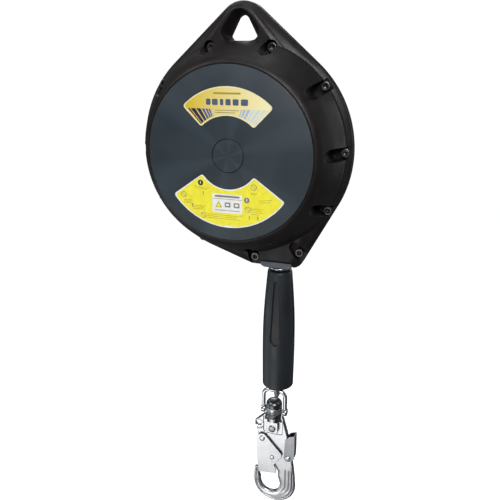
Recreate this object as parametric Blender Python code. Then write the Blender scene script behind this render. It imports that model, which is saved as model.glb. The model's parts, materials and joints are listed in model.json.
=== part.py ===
"""Self retracting lifeline: a two-shell block with a wire rope, a hand grip and a swivel snap hook.

The design is drawn in millimetres about the drum's centre (X right, Y away from the label side, Z up)
and moved so that the world origin is the anchor eye's bearing point.
"""
from math import atan2, cos, hypot, pi, radians, sin

import bpy
import bmesh
from mathutils import Matrix, Vector

MM = 0.001
MERGE = 0.0001         # points closer than this are one point
SHARP_ANGLE = 32.0     # degrees between faces that meet in a visible edge
GAP = 0.3              # clearance between touching pieces

# housing
DISC_R = 92.0          # flat face of each shell
HALF_DEPTH = 53.0      # parting plane to the flat face
FLANGE_R = 122.0       # round part of the flange outline
FLANGE_HALF = 6.5      # half the flange band's width
PLATEAU_Y = 16.0       # height of the ledge round the dome
FACE_WALL = 3.5
CAVITY_R = 98.0
DOME_R = 116.4         # where the dome's foot meets the ledge
EYE_APEX_Z = 138.2     # bearing point of the anchor eye above the drum's axis
EYE_FLOOR_Z = 113.5
EYE_HALF = 14.4
EYE_TIP_R = 6.5        # radius of the eye's apex, and of its lower corners
EYE_CORNER_R = 3.0
HUB_CAP_R = 17.3
HUB_CAP_SEAT = 51.5    # the cap's underside
SPIGOT_OUT = 14.3
SPIGOT_IN = 11.5
LABEL_THICK = 0.25

# flange outline: the hull of four circles (x, z, radius)
OUTLINE = [(0, 0, FLANGE_R), (0, 125.5, 27.5), (60, -120, 12.5), (13, -120.5, 12)]
LEDGE = [(0, 0, 99.8), (0, 125.5, 21.5), (58, -118, 5.5), (14, -118, 6)]

# housing screws: angle about the drum's axis in degrees, and radius
SCREWS = [(72.5, 112.6), (107.5, 112.6), (37.3, 114.7), (142.7, 114.7), (1.5, 114.9), (178.5, 114.9),
          (-30.9, 115.9), (210.9, 115.9), (-58.1, 131.1), (-82.2, 122.7), (245, 114.9)]
SCREW_R = 2.9
HEAD_R = 5.0
HEAD_TOP = 12.7
SOCKET_R = 2.9
SOCKET_DEPTH = 3.0
SCREW_TIP = 13.2
SEAT_Y = 6.6
POCKET_R = 6.3

# drum, rope and brake, along Y
ROPE_R = 2.25
LINE_X = 43.75         # centre of the rope's outer wrap, and of the rope's exit
DRUM_HALF = 27.0       # half the rope's space between the drum's flanges
DRUM_END = 30.0        # outside of the flanges
DRUM_BORE = 11.3
CORE_R = 22.0
FLANGE_OUT = 54.0
SHAFT_R = 8.0
PLATE_IN = 42.0
PLATE_OUT = 45.0
SPACER_X = 69.2
SPACER_Z = -48.5
SPACER_R = 5.0
STUD_R = 3.0           # the spacers' ends, through the side plates
BEND_LOW = 84.0        # the side plates bend in between these heights
BEND_HIGH = 106.0
TEETH = 12
TOOTH_TIP = 57.5
TOOTH_ROOT = 63.5
RING_R = 71.0
PAWL_COUNT = 3
PAWL_PIVOT_R = 38.0
PAWL_SWING = 22.0      # degrees, retracted to seated in the teeth
PAWL_REACH = 29.0
PAWL_Y = (-36.2, -31.2)
PAWL_PIN_R = 3.0
LINING_IN = 64.5       # the friction discs' bore and outside
LINING_OUT = 70.5
LINING = 1.4
CLAMP_R = 78.5         # the brake plates' outside
STUD_COUNT = 6

# rope end and grip, along the rope
FERRULE_TOP = -252.0
EYE_TOP_Z = -276.0     # where the rope's eye leaves the ferrule
THIMBLE_Z = -300.9
THIMBLE_R = 6.0
GRIP_TOP = -138.8
GRIP_BOTTOM = -292.0
GRIP_R_TOP = 14.4
GRIP_R = 19.6
GRIP_BORE = 3.4
GRIP_MOUTH = 13.5      # radius of the hollow that the ferrule and the bow stand in
SLOT_COUNT = 4
SLOT_ANGLE = 2.0       # direction of the first slot, in degrees from +X
SLOT_DEPTH = 2.6

# swivel and hook
SWIVEL_X = 39.6
BOW_Z = -302.7         # centre of the bow's top bar
BOW_HALF = 14.3        # half its width, to the wire's centre
WIRE_R = 2.7
PIN_Z = -332.0
PIN_R = 2.2
BARREL_R = 10.1
RIVET_Z = -355.0
CLEVIS_RIVET_R = 3.0
RIVET_R = 2.0          # the gate's and the lever's rivets
LOCK_PIN_R = 1.8
HOOK_HALF = 3.9
LEVER_IN = 4.2         # the lever's cheeks lie beside the hook, inside the gate's
LEVER_OUT = 5.4
GATE_IN = 5.7
GATE_OUT = 7.0
EAR_HOLE = (-20.0, 0.4)
GATE_PIVOT = (-13.6, -18.8)
LOCK_PIN = (0.2, -45.2)
LEVER_PIVOT = (20.8, -43.0)
GATE_OPEN = 22.0       # degrees


# ---------------------------------------------------------------- helpers

def clear_scene():
    for item in list(bpy.data.objects):
        bpy.data.objects.remove(item, do_unlink=True)


def material(name, colour, roughness, metallic=0.0):
    mat = bpy.data.materials.new(name)
    mat.use_nodes = True
    shader = mat.node_tree.nodes["Principled BSDF"]
    shader.inputs["Base Color"].default_value = (*colour, 1.0)
    shader.inputs["Roughness"].default_value = roughness
    shader.inputs["Metallic"].default_value = metallic
    return mat


def new_object(name, bm):
    bmesh.ops.remove_doubles(bm, verts=bm.verts, dist=MERGE)
    bmesh.ops.recalc_face_normals(bm, faces=bm.faces)
    mesh = bpy.data.meshes.new(name)
    bm.to_mesh(mesh)
    bm.free()
    obj = bpy.data.objects.new(name, mesh)
    bpy.context.scene.collection.objects.link(obj)
    return obj


def rings_object(name, rings, closed=False):
    """A skin through rings of points; the end rings are capped, or joined to each other if closed."""
    bm = bmesh.new()
    loops = [[bm.verts.new(p) for p in ring] for ring in rings]
    pairs = list(zip(loops, loops[1:]))
    if closed:
        pairs.append((loops[-1], loops[0]))
    for low, high in pairs:
        for i in range(len(low)):
            j = (i + 1) % len(low)
            bm.faces.new((low[i], low[j], high[j], high[i]))
    if not closed:
        bm.faces.new(loops[0])
        bm.faces.new(loops[-1])
    return new_object(name, bm)


def turn(axis, r, h, angle, centre):
    """The point at radius r, angle and height h about an axis through centre."""
    a, b = r * cos(angle), r * sin(angle)
    local = {"X": (h, a, b), "Y": (a, h, b), "Z": (a, b, h)}[axis]
    return Vector(local) + Vector(centre)


def lathe(name, profile, axis="Y", centre=(0, 0, 0), steps=24):
    """A profile of (radius, height) turned about an axis: a ring if it stays clear of the axis."""
    solid = profile[0][0] == 0 and profile[-1][0] == 0
    points = profile[1:-1] if solid else profile
    rings = [[turn(axis, r, h, 2 * pi * k / steps, centre) for k in range(steps)] for r, h in points]
    return rings_object(name, rings, closed=not solid)


def rod(name, radius, low, high, axis="Y", centre=(0, 0, 0), steps=16):
    return lathe(name, [(0, low), (radius, low), (radius, high), (0, high)], axis, centre, steps)


def tube(name, inner, outer, low, high, axis="Y", centre=(0, 0, 0), steps=24):
    profile = [(inner, low), (outer, low), (outer, high), (inner, high)]
    return lathe(name, profile, axis, centre, steps)


def plate(name, outline, low, high):
    """An (x, z) outline made solid from Y low to Y high."""
    return rings_object(name, [[(x, y, z) for x, z in outline] for y in (low, high)])


def box(name, low, high):
    corners = [(low[0], low[2]), (high[0], low[2]), (high[0], high[2]), (low[0], high[2])]
    return plate(name, corners, low[1], high[1])


def is_closed(mesh):
    bm = bmesh.new()
    bm.from_mesh(mesh)
    closed = all(edge.is_manifold for edge in bm.edges)
    bm.free()
    return closed


def boolean(obj, tool, operation):
    """Apply one Boolean; where the exact solver leaves a gap in the skin, the manifold one does it."""
    mod = obj.modifiers.new(operation, "BOOLEAN")
    mod.operation = operation
    mod.object = tool
    for solver in ("EXACT", "MANIFOLD"):
        mod.solver = solver
        graph = bpy.context.evaluated_depsgraph_get()
        mesh = bpy.data.meshes.new_from_object(obj.evaluated_get(graph))
        if is_closed(mesh):
            break
    obj.modifiers.clear()
    obj.data = mesh
    bpy.data.objects.remove(tool, do_unlink=True)
    return obj


def cut(obj, *tools):
    for tool in tools:
        boolean(obj, tool, "DIFFERENCE")
    return obj


def weld(obj, *others):
    for other in others:
        boolean(obj, other, "UNION")
    return obj


def turned(obj, axis, degrees, centre=(0, 0, 0)):
    spin = Matrix.Rotation(radians(degrees), 4, axis)
    obj.data.transform(Matrix.Translation(centre) @ spin @ Matrix.Translation(-Vector(centre)))
    return obj


def mirrored(obj):
    obj.data.transform(Matrix.Diagonal((1, -1, 1, 1)))
    obj.data.flip_normals()
    return obj


def place(obj, mat, origin=(0, 0, 0)):
    """Put the origin on the given point, turn millimetres into metres, and finish the shading."""
    point = Vector(origin)
    obj.data.transform(Matrix.Scale(MM, 4) @ Matrix.Translation(-point))
    obj.location = (point - Vector((0, 0, EYE_APEX_Z))) * MM
    obj.data.materials.clear()
    obj.data.materials.append(mat)
    obj.data.shade_smooth()
    obj.data.set_sharp_from_angle(angle=radians(SHARP_ANGLE))
    return obj


def hull_points(circles, steps=52):
    """The outline of the hull of circles, one point for each direction."""
    points = []
    for k in range(steps):
        nx, nz = cos(2 * pi * k / steps), sin(2 * pi * k / steps)
        x, z, r = max(circles, key=lambda c: c[0] * nx + c[1] * nz + c[2])
        points.append((x + r * nx, z + r * nz))
    return points


def arc(cx, cz, r, start, end, steps, squash=1.0):
    """Points of an arc from start to end degrees; squash scales its height."""
    angles = [radians(start + (end - start) * k / steps) for k in range(steps + 1)]
    return [(cx + r * cos(a), cz + r * squash * sin(a)) for a in angles]


def polar(angle, radius):
    return radius * cos(radians(angle)), radius * sin(radians(angle))


def eye_outline(extra=0.0):
    """The anchor eye: a rounded triangle, grown by extra all round."""
    side = EYE_HALF - EYE_CORNER_R
    low = EYE_FLOOR_Z + EYE_CORNER_R
    return hull_points([(0, EYE_APEX_Z - EYE_TIP_R, EYE_TIP_R + extra), (side, low, EYE_CORNER_R + extra),
                        (-side, low, EYE_CORNER_R + extra)], 24)


def frame_outline(extra=0.0):
    """The side plates: a boss at the shaft, a lug at each spacer and a neck up to the anchor eye."""
    circles = [(0, 0, 36), (-SPACER_X, SPACER_Z, 6.5), (SPACER_X, SPACER_Z, 6.5), (-11, 112, 14),
               (11, 112, 14), (0, 126, 20)]
    return hull_points([(x, z, r + extra) for x, z, r in circles], 40)


# ---------------------------------------------------------------- housing

def shell_blank():
    """The outside of the front shell: the flange band, the sloped ledge and the dome."""
    rings = [[(x, y, z) for x, z in hull_points(circles)]
             for y, circles in ((0, OUTLINE), (-FLANGE_HALF, OUTLINE), (-PLATEAU_Y, LEDGE))]
    body = rings_object("shell", rings)
    dome = lathe("dome", [(0, -1), (DOME_R, -1), (DOME_R, -PLATEAU_Y), (106, -36), (97.5, -49),
                          (DISC_R, -HALF_DEPTH), (0, -HALF_DEPTH)], steps=52)
    return weld(body, dome)


def screw_pocket(angle, radius):
    """A stadium from just inside the screw to the flange's edge, with a hole for the screw."""
    x, z = polar(angle, radius)
    upper = angle in (SCREWS[0][0], SCREWS[1][0])
    inner, outer = (1.0, 0.5) if upper else (8.0, 30.0)
    dx, dz = polar(angle, 1)
    ends = [(x - inner * dx, z - inner * dz, POCKET_R), (x + outer * dx, z + outer * dz, POCKET_R)]
    pocket = plate("pocket", hull_points(ends, 16), -60, -SEAT_Y)
    hole = rod("hole", SCREW_R + GAP, -20, 5, centre=(x, 0, z), steps=10)
    return [pocket, hole]


def guide_cavity(extra):
    return box("guide_cavity", (24 - extra, -13 - extra, -134), (60.5 + extra, 5, -118 + extra))


def bend_cavity():
    """Room for the frame plate where it bends in from the drum's side to the parting plane."""
    rings = []
    for z, depth, half in ((BEND_LOW - 1, 46, 36), (BEND_LOW, 46, 35.6), (BEND_HIGH + 2.5, 4.4, 29)):
        rings.append([(-half, -depth, z), (half, -depth, z), (half, 4, z), (-half, 4, z)])
    return rings_object("bend_cavity", rings)


def make_shell(name, front, mat):
    shell = shell_blank()
    wall_top = -HALF_DEPTH + FACE_WALL
    cavity = lathe("cavity", [(0, 1), (CAVITY_R, 1), (CAVITY_R, -14), (CAVITY_R - 2, -38),
                              (DISC_R - 3, wall_top), (0, wall_top)], steps=32)
    cut(shell, cavity, plate("eye", eye_outline(), -60, 5))
    lobe_cut = plate("frame_pocket", frame_outline(GAP + 0.2), -4.4, 5)
    keep_rim = plate("rim", eye_outline(3.0), -6, 8)
    cut(shell, cut(lobe_cut, keep_rim))
    cut(shell, bend_cavity())
    for angle, radius in SCREWS:
        cut(shell, *screw_pocket(angle, radius))
    cut(shell, guide_cavity(GAP), rod("exit", 9, -140, -84, "Z", (LINE_X, 0, 0)))
    cut(shell, rod("cap_hole", SPIGOT_OUT + GAP, -60, -40, steps=24))
    cut(shell, rod("cap_seat", HUB_CAP_R + GAP, -60, GAP - HUB_CAP_SEAT, steps=36))
    if not front:
        mirrored(shell)
    shell.data.transform(Matrix.Translation((0, -GAP / 2 if front else GAP / 2, 0)))
    shell.name = name
    return place(shell, mat)


def make_hub_cap(name, front, mat):
    """A flat disc with a hollow spigot that clips into the shell."""
    cap = rod(name, HUB_CAP_R, -HALF_DEPTH, -HUB_CAP_SEAT, steps=36)
    weld(cap, tube("spigot", SPIGOT_IN, SPIGOT_OUT, -51.8, -48.6, steps=24))
    if not front:
        mirrored(cap)
    return place(cap, mat)


def sector_outline(inner, outer, half_angle, middle, corner=3.0, steps=14):
    """An annular sector about the hub with rounded corners, centred on the direction middle."""
    inner_turn = corner / (inner + corner)
    outer_turn = corner / (outer - corner)
    a0, a1 = radians(middle - half_angle), radians(middle + half_angle)
    outline = []
    for k in range(steps + 1):
        a = a0 + outer_turn + (a1 - a0 - 2 * outer_turn) * k / steps
        outline.append((outer * cos(a), outer * sin(a)))
    outline.append(((outer - corner) * cos(a1), (outer - corner) * sin(a1)))
    outline.append(((inner + corner) * cos(a1), (inner + corner) * sin(a1)))
    for k in range(steps + 1):
        a = a1 - inner_turn - (a1 - a0 - 2 * inner_turn) * k / steps
        outline.append((inner * cos(a), inner * sin(a)))
    outline.append(((inner + corner) * cos(a0), (inner + corner) * sin(a0)))
    outline.append(((outer - corner) * cos(a0), (outer - corner) * sin(a0)))
    return outline


def make_label(name, inner, outer, half_angle, middle, mat):
    outline = sector_outline(inner, outer, half_angle, middle)
    face = -HALF_DEPTH - GAP
    return place(plate(name, outline, face - LABEL_THICK, face), mat)


def make_screws(mat):
    """Socket-head screws from the label side, each ending in the rear shell's boss."""
    for k, (angle, radius) in enumerate(SCREWS):
        x, z = polar(angle, radius)
        name = "housing_screw_%02d" % (k + 1)
        screw = rod(name, HEAD_R, -HEAD_TOP, -SEAT_Y - GAP, centre=(x, 0, z), steps=14)
        cut(screw, rod("socket", SOCKET_R, -HEAD_TOP - 1, SOCKET_DEPTH - HEAD_TOP, centre=(x, 0, z), steps=6))
        weld(screw, rod("shank", SCREW_R, -SEAT_Y - 1, SCREW_TIP, centre=(x, 0, z), steps=8))
        place(screw, mat, (x, 0, z))


# ---------------------------------------------------------------- frame and shaft

def make_frame_plate(name, front, mat):
    """A steel side plate: flat beside the drum, then bent in to the middle of the anchor eye."""
    side = [(-PLATE_OUT, -60), (-PLATE_IN, -60), (-PLATE_IN, BEND_LOW), (-GAP, BEND_HIGH - 2), (-GAP, 150),
            (-4.0, 150), (-4.0, BEND_HIGH), (-PLATE_OUT, BEND_LOW + 1)]
    bent = rings_object(name, [[(x, y, z) for y, z in side] for x in (-90, 90)])
    boolean(bent, plate("outline", frame_outline(), -60, 5), "INTERSECT")
    cut(bent, plate("eye", eye_outline(3 + GAP), -60, 5), rod("bore", SHAFT_R + GAP, -60, -30))
    for x in (-SPACER_X, SPACER_X):
        cut(bent, rod("spacer_hole", STUD_R + GAP, -60, -30, centre=(x, 0, SPACER_Z), steps=16))
    if not front:
        mirrored(bent)
    return place(bent, mat)


def make_spacers(mat):
    for side, x in (("left", -SPACER_X), ("right", SPACER_X)):
        centre = (x, 0, SPACER_Z)
        body = rod("frame_spacer_" + side, SPACER_R, -PLATE_IN + GAP, PLATE_IN - GAP, centre=centre)
        weld(body, rod("stud", STUD_R, -PLATE_OUT - 1, PLATE_OUT + 1, centre=centre, steps=12))
        place(body, mat, centre)


def make_shaft(mat):
    """The drum's shaft: a head outside the front plate and a circlip groove outside the rear one."""
    shaft = rod("main_shaft", SHAFT_R, -46, 47.6, steps=24)
    weld(shaft, rod("head", SHAFT_R + 3, -47.6, -PLATE_OUT - GAP, steps=24))
    cut(shaft, tube("groove", SHAFT_R - 1, SHAFT_R + 2, 45.4, 46.6, steps=24))
    return place(shaft, mat)


def make_circlip(mat):
    clip = tube("shaft_circlip", SHAFT_R - 0.7, SHAFT_R + 3, 45.5, 46.5, steps=24)
    return place(cut(clip, box("opening", (-3, -60, 0), (3, 60, 20))), mat)


# ---------------------------------------------------------------- outlet

def make_guide_block(mat):
    section = [(24, -118.3), (24, -131), (28, -133), (56.5, -133), (60.5, -131), (60.5, -118.3)]
    block = plate("rope_guide_block", section, -13, 13)
    return place(cut(block, rod("bore", 7 + GAP, -140, -100, "Z", (LINE_X, 0, 0))), mat)


def make_guide_bush(mat):
    profile = [(3.2, -118), (7, -118), (7, -133.3), (14, -133.3), (14.2, -134.2), (12.5, -137), (6, -137.8),
               (3.2, -135.5)]
    return place(lathe("rope_guide_bush", profile, "Z", (LINE_X, 0, 0), 24), mat)


# ---------------------------------------------------------------- power spring

def make_spring_case(mat):
    profile = [(13.5, 41.6), (13.5, 40.4), (54.5, 40.4), (54.5, 32.4), (56.5, 32.4), (56.5, 41.6)]
    return place(lathe("spring_case", profile, steps=48), mat)


def make_spring_cover(mat):
    return place(tube("spring_case_cover", 13.5, 56.5, 30.9, 32.1), mat)


def make_power_spring(mat):
    """A flat strip wound in a spiral between the arbor and the case."""
    turns, per_turn, strip = 5, 16, 0.8
    low, high = 33.2, 39.6
    rings = []
    for k in range(turns * per_turn + 1):
        share = k / (turns * per_turn)
        angle = 2 * pi * turns * share
        radius = 13.6 + (52.8 - 13.6) * share
        rings.append([(r * cos(angle), y, r * sin(angle)) for r, y in
                      ((radius, low), (radius + strip, low), (radius + strip, high), (radius, high))])
    return place(rings_object("power_spring", rings), mat)


def make_arbor(mat):
    arbor = tube("spring_arbor", SHAFT_R + 0.4, 12.4, 30.5, 40.0, steps=24)
    return place(cut(arbor, box("spring_slot", (9, 32, -0.8), (14, 45, 0.8))), mat)


# ---------------------------------------------------------------- drum and brake

def make_drum(mat_core, mat_flange, mat_rope, mat_bush):
    profile = [(DRUM_BORE, -DRUM_HALF + GAP), (CORE_R, -DRUM_HALF + GAP), (CORE_R, DRUM_HALF),
               (FLANGE_OUT, DRUM_HALF), (FLANGE_OUT, DRUM_END), (DRUM_BORE, DRUM_END)]
    place(lathe("drum_spool", profile), mat_core)
    flange = tube("drum_front_flange", DRUM_BORE, FLANGE_OUT, -DRUM_END, -DRUM_HALF)
    for k in range(PAWL_COUNT):
        x, z = pawl_centre(k)
        weld(flange, rod("pawl_pin", PAWL_PIN_R, -38.4, -28, centre=(x, 0, z), steps=16))
    place(flange, mat_flange)
    reach = DRUM_HALF - GAP
    place(tube("wound_rope", CORE_R + GAP, LINE_X - ROPE_R - GAP, -reach, reach), mat_rope)
    for side, low, high in (("front", -DRUM_END, -14), ("rear", 14, DRUM_END)):
        place(tube("drum_bush_" + side, SHAFT_R + 0.1, DRUM_BORE - GAP, low, high), mat_bush)


def pawl_centre(index):
    return polar(90 + 360 * index / PAWL_COUNT, PAWL_PIVOT_R)


def pawl_outline(index):
    """A curved pawl: a boss at its pivot and a blunt tip that trails round the drum."""
    x, z = pawl_centre(index)
    heading = atan2(z, x) - pi / 2 - radians(4)
    ux, uz = cos(heading), sin(heading)
    vx, vz = -uz, ux
    local = [(0, -6), (PAWL_REACH * 0.6, -3.5), (PAWL_REACH, 5.5), (PAWL_REACH + 1, 9.5), (PAWL_REACH - 4, 9),
             (PAWL_REACH * 0.5, 6)] + arc(0, 0, 6, 90, 270, 8)[:-1]
    return [(x + a * ux + b * vx, z + a * uz + b * vz) for a, b in local]


def make_pawls(mat):
    for k in range(PAWL_COUNT):
        x, z = pawl_centre(k)
        pawl = plate("pawl_%d" % (k + 1), pawl_outline(k), *PAWL_Y)
        cut(pawl, rod("bore", PAWL_PIN_R + GAP, -60, 0, centre=(x, 0, z), steps=16))
        place(pawl, mat, (x, 0, z))


def seated_tip_angle():
    """The direction of the first pawl's tip when it has swung out to the teeth."""
    x, z = pawl_centre(0)
    tip_x, tip_z = pawl_outline(0)[3]
    a = radians(PAWL_SWING)
    dx, dz = tip_x - x, tip_z - z
    return atan2(z + dx * sin(a) + dz * cos(a), x + dx * cos(a) - dz * sin(a))


def make_ratchet_ring(mat):
    """A ring with inward teeth whose gaps face the seated pawls."""
    pitch = 2 * pi / TEETH
    inner = []
    for k in range(TEETH):
        middle = seated_tip_angle() + pitch * k
        for share, radius in ((-0.38, TOOTH_ROOT), (0.0, TOOTH_ROOT), (0.2, TOOTH_ROOT), (0.27, TOOTH_TIP),
                              (0.45, TOOTH_TIP), (0.58, TOOTH_TIP + 1)):
            a = middle + pitch * share
            inner.append((radius * cos(a), radius * sin(a)))
    rings = []
    for y, outer in ((-37.0, False), (-37.0, True), (-31.4, True), (-31.4, False)):
        if outer:
            ring = [(RING_R * x / hypot(x, z), y, RING_R * z / hypot(x, z)) for x, z in inner]
        else:
            ring = [(x, y, z) for x, z in inner]
        rings.append(ring)
    return place(rings_object("ratchet_ring", rings, closed=True), mat)


def make_brake(mat_disc, mat_plate):
    """The ratchet ring is gripped between two linings by plates that studs draw together."""
    for side, low in (("front", -38.7), ("rear", -31.1)):
        place(tube("friction_disc_" + side, LINING_IN, LINING_OUT, low, low + LINING), mat_disc)
    backing = tube("brake_backing_plate", LINING_IN, CLAMP_R, -41.7, -39.0)
    pressure = tube("brake_pressure_plate", LINING_IN, CLAMP_R, -29.4, -26.9)
    for k in range(STUD_COUNT):
        x, z = polar(360 * k / STUD_COUNT + 35, (RING_R + CLAMP_R) / 2)
        cut(pressure, rod("hole", 2.3, -60, 0, centre=(x, 0, z), steps=12))
        weld(backing, rod("stud", 2, -41, -23.5, centre=(x, 0, z), steps=12))
    place(backing, mat_plate)
    place(pressure, mat_plate)


# ---------------------------------------------------------------- line end

def rope_lead(mat):
    lead = rod("wire_rope_lead", ROPE_R, FERRULE_TOP + GAP, 0, "Z", (LINE_X, 0, 0), 12)
    return place(lead, mat, (LINE_X, 0, 0))


def sweep(name, path, radius, steps=12):
    """A round bar along a path of points."""
    points = [Vector(p) for p in path]
    rings = []
    side = None
    for k, point in enumerate(points):
        ahead = (points[min(k + 1, len(points) - 1)] - points[max(k - 1, 0)]).normalized()
        if side is None:
            side = ahead.orthogonal().normalized()
        side = (side - ahead * side.dot(ahead)).normalized()
        other = ahead.cross(side)
        rings.append([point + (side * cos(2 * pi * i / steps) + other * sin(2 * pi * i / steps)) * radius
                      for i in range(steps)])
    return rings_object(name, rings)


def eye_path():
    """The rope's eye: down one side of the thimble, round it and up the other."""
    leg = [(2.6, EYE_TOP_Z - GAP), (3.0, -280.0), (5.6, -287.0), (8.0, -294.0)]
    loop = arc(0, THIMBLE_Z, THIMBLE_R + ROPE_R + 0.35, 0, -180, 12)
    path = leg + loop + [(-y, z) for y, z in reversed(leg)]
    return [(LINE_X, y, z) for y, z in path]


def make_line_end(mat_rope, mat_ferrule, mat_thimble):
    place(sweep("rope_eye", eye_path(), ROPE_R, 8), mat_rope, (LINE_X, 0, EYE_TOP_Z))
    low = EYE_TOP_Z + GAP
    profile = [(0, FERRULE_TOP), (4.6, FERRULE_TOP), (6, FERRULE_TOP - 2), (6, -273), (5.4, low), (0, low)]
    ferrule = lathe("swage_ferrule", profile, "Z", (LINE_X, 0, 0), 20)
    place(ferrule, mat_ferrule, (LINE_X, 0, FERRULE_TOP))
    thimble = tube("thimble", THIMBLE_R - 1.1, THIMBLE_R, -2.6, 2.6, "X", (LINE_X, 0, THIMBLE_Z), 24)
    place(thimble, mat_thimble, (LINE_X, 0, THIMBLE_Z))


def grip_radius(z):
    """The grip swells over 90 mm from its neck to its belly, and draws in by 0.5 mm over the last 42 mm."""
    share = min(1.0, (GRIP_TOP - z) / 90.0)
    belly = GRIP_R_TOP + (GRIP_R - GRIP_R_TOP) * sin(pi / 2 * share)
    return belly - 0.5 * max(0.0, (-250 - z) / 42.0)


def slot_cutter(angle):
    """A tapered recess along the grip, narrow at the top and round at the bottom."""
    rings = []
    for z, half in ((-150, 2.6), (-175, 3.8), (-205, 5.0), (-224, 5.6), (-230, 3.0)):
        r = grip_radius(z)
        floor, outside = r - SLOT_DEPTH, r + 4
        rings.append([(floor, -half, z), (floor, half, z), (outside, half, z), (outside, -half, z)])
    cutter = rings_object("slot", rings)
    turned(cutter, "Z", angle)
    cutter.data.transform(Matrix.Translation((LINE_X, 0, 0)))
    return cutter


def make_grip(mat):
    levels = [GRIP_TOP - 1.2 - k * (GRIP_TOP - GRIP_BOTTOM - 5.2) / 9 for k in range(10)]
    outside = [(grip_radius(GRIP_TOP) - 1.2, GRIP_TOP)] + [(grip_radius(z), z) for z in levels]
    outside += [(grip_radius(-289) - 1.4, -290.8), (grip_radius(-289) - 4.0, GRIP_BOTTOM)]
    inside = [(GRIP_MOUTH, GRIP_BOTTOM), (GRIP_MOUTH, -262), (8.5, -250), (GRIP_BORE, -248),
              (GRIP_BORE, GRIP_TOP)]
    grip = lathe("grip_body", outside + inside, "Z", (LINE_X, 0, 0), 28)
    for k in range(SLOT_COUNT):
        cut(grip, slot_cutter(SLOT_ANGLE + 360 * k / SLOT_COUNT))
    return place(grip, mat, (LINE_X, 0, GRIP_TOP))


# ---------------------------------------------------------------- swivel

def bow_path():
    corner = 8.6
    side = BOW_HALF - corner
    half = [(BOW_HALF, PIN_Z)] + arc(side, BOW_Z - corner, corner, 0, 90, 8)
    both = half + [(-x, z) for x, z in reversed(half)]
    return [(SWIVEL_X + x, 0, z) for x, z in both]


def make_bow(mat, mat_pin):
    bow = sweep("bow", bow_path(), WIRE_R, 10)
    for name, side in (("left", -1), ("right", 1)):
        end = (SWIVEL_X + side * BOW_HALF, 0, PIN_Z)
        weld(bow, rod("boss", 5.0, -2.4, 2.4, "X", end, 20))
        cut(bow, rod("bore", PIN_R + GAP, -8, 8, "X", end, 16))
        low, high = sorted((side * 7.3, side * (BOW_HALF + 3.2)))
        pin = rod("bow_pin_" + name, PIN_R, low, high, "X", (SWIVEL_X, 0, PIN_Z), 16)
        place(pin, mat_pin, (SWIVEL_X, 0, PIN_Z))
    place(bow, mat, (SWIVEL_X, 0, BOW_Z))


def make_barrel(mat, mat_collar):
    dome = [(0, -314.8)] + [(BARREL_R * sin(a), -321.3 + 6.5 * cos(a))
                            for a in [radians(90 * k / 4) for k in range(1, 5)]]
    outside = dome + [(BARREL_R, -335.2), (6.8, -335.2), (6.8, -324), (0, -324)]
    barrel = lathe("swivel_barrel", outside, "Z", (SWIVEL_X, 0, 0), 24)
    for side in (-1, 1):
        bore = rod("bore", PIN_R + GAP, side * 8.6 - 1.6, side * 8.6 + 1.6, "X", (SWIVEL_X, 0, PIN_Z), 16)
        cut(barrel, bore)
    place(barrel, mat, (SWIVEL_X, 0, PIN_Z))
    collar = tube("swivel_collar", 4.7, 9.8, -340.5, -335.5, "Z", (SWIVEL_X, 0, 0), 24)
    place(collar, mat_collar, (SWIVEL_X, 0, PIN_Z))


def hook_point(x, z):
    return SWIVEL_X + x, RIVET_Z + z


def make_spindle(mat, mat_rivet):
    """The swivel's spindle: a head held by the collar, a neck, and a clevis that straddles the hook."""
    spindle = lathe("swivel_clevis", [(0, -329), (6.3, -329), (6.3, -335.0), (4.3, -335.2), (4.3, -341.0),
                                      (8.8, -341.0), (8.8, -346.2), (0, -346.2)], "Z", (SWIVEL_X, 0, 0), 24)
    for side in (-1, 1):
        low, high = sorted((side * (HOOK_HALF + GAP), side * 8.5))
        ear = box("ear", (SWIVEL_X - 7.3, low, -362), (SWIVEL_X + 7.3, high, -345))
        weld(spindle, ear)
    cut(spindle, rod("bore", CLEVIS_RIVET_R + GAP, -20, 20, centre=(SWIVEL_X, 0, RIVET_Z), steps=14))
    place(spindle, mat, (SWIVEL_X, 0, RIVET_Z))
    joint = rivet("clevis_rivet", hook_point(0, 0), CLEVIS_RIVET_R, 4.6, 8.8)
    place(joint, mat_rivet, (SWIVEL_X, 0, RIVET_Z))


def rivet(name, point, shank, head, reach):
    """A rivet through the hook with a low domed head on each side."""
    x, z = point
    body = rod(name, shank, -reach - 0.5, reach + 0.5, centre=(x, 0, z), steps=14)
    for side in (-1, 1):
        profile = [(0, side * reach), (head, side * reach), (head, side * (reach + 0.7)),
                   (head * 0.6, side * (reach + 1.5)), (0, side * (reach + 1.7))]
        weld(body, lathe("head", profile, centre=(x, 0, z), steps=14))
    return body


# ---------------------------------------------------------------- hook

def hook_outline():
    """The hook's outline about the clevis rivet: head, neck, spine, bowl, nose and throat."""
    points = [(-12, 16.2), (-10.5, 16.2), (-10.5, 8), (10.5, 8), (10.5, 16.2), (12, 16.2), (18.4, -7.4),
              (19.6, -12), (19.6, -32), (24.5, -37.5), (26.2, -44), (26.4, -52), (28.6, -64), (30, -74)]
    points += arc(2.4, -89, 28.6, 12, -180, 22)
    points += [(-26.2, -80), (-25.6, -72)] + arc(-23.3, -71.3, 2.3, 160, 20, 4) + [(-20.2, -75)]
    points += [(-18.2, -82)] + arc(-4.3, -87.5, 12.8, 170, 270, 8, 1.21)
    points += arc(-0.3, -87.5, 10.2, 270, 360, 8, 1.52)
    points += [(7.8, -80.5), (6.4, -76.5), (7, -70.5), (6.4, -68.4), (-6.6, -44.4), (-8.5, -32)]
    points += arc(*GATE_PIVOT, 6.3, -60, -170, 5) + [(-21.5, -9)]
    points += arc(*EAR_HOLE, 6.0, 230, 125, 6)
    return [hook_point(x, z) for x, z in points]


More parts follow.
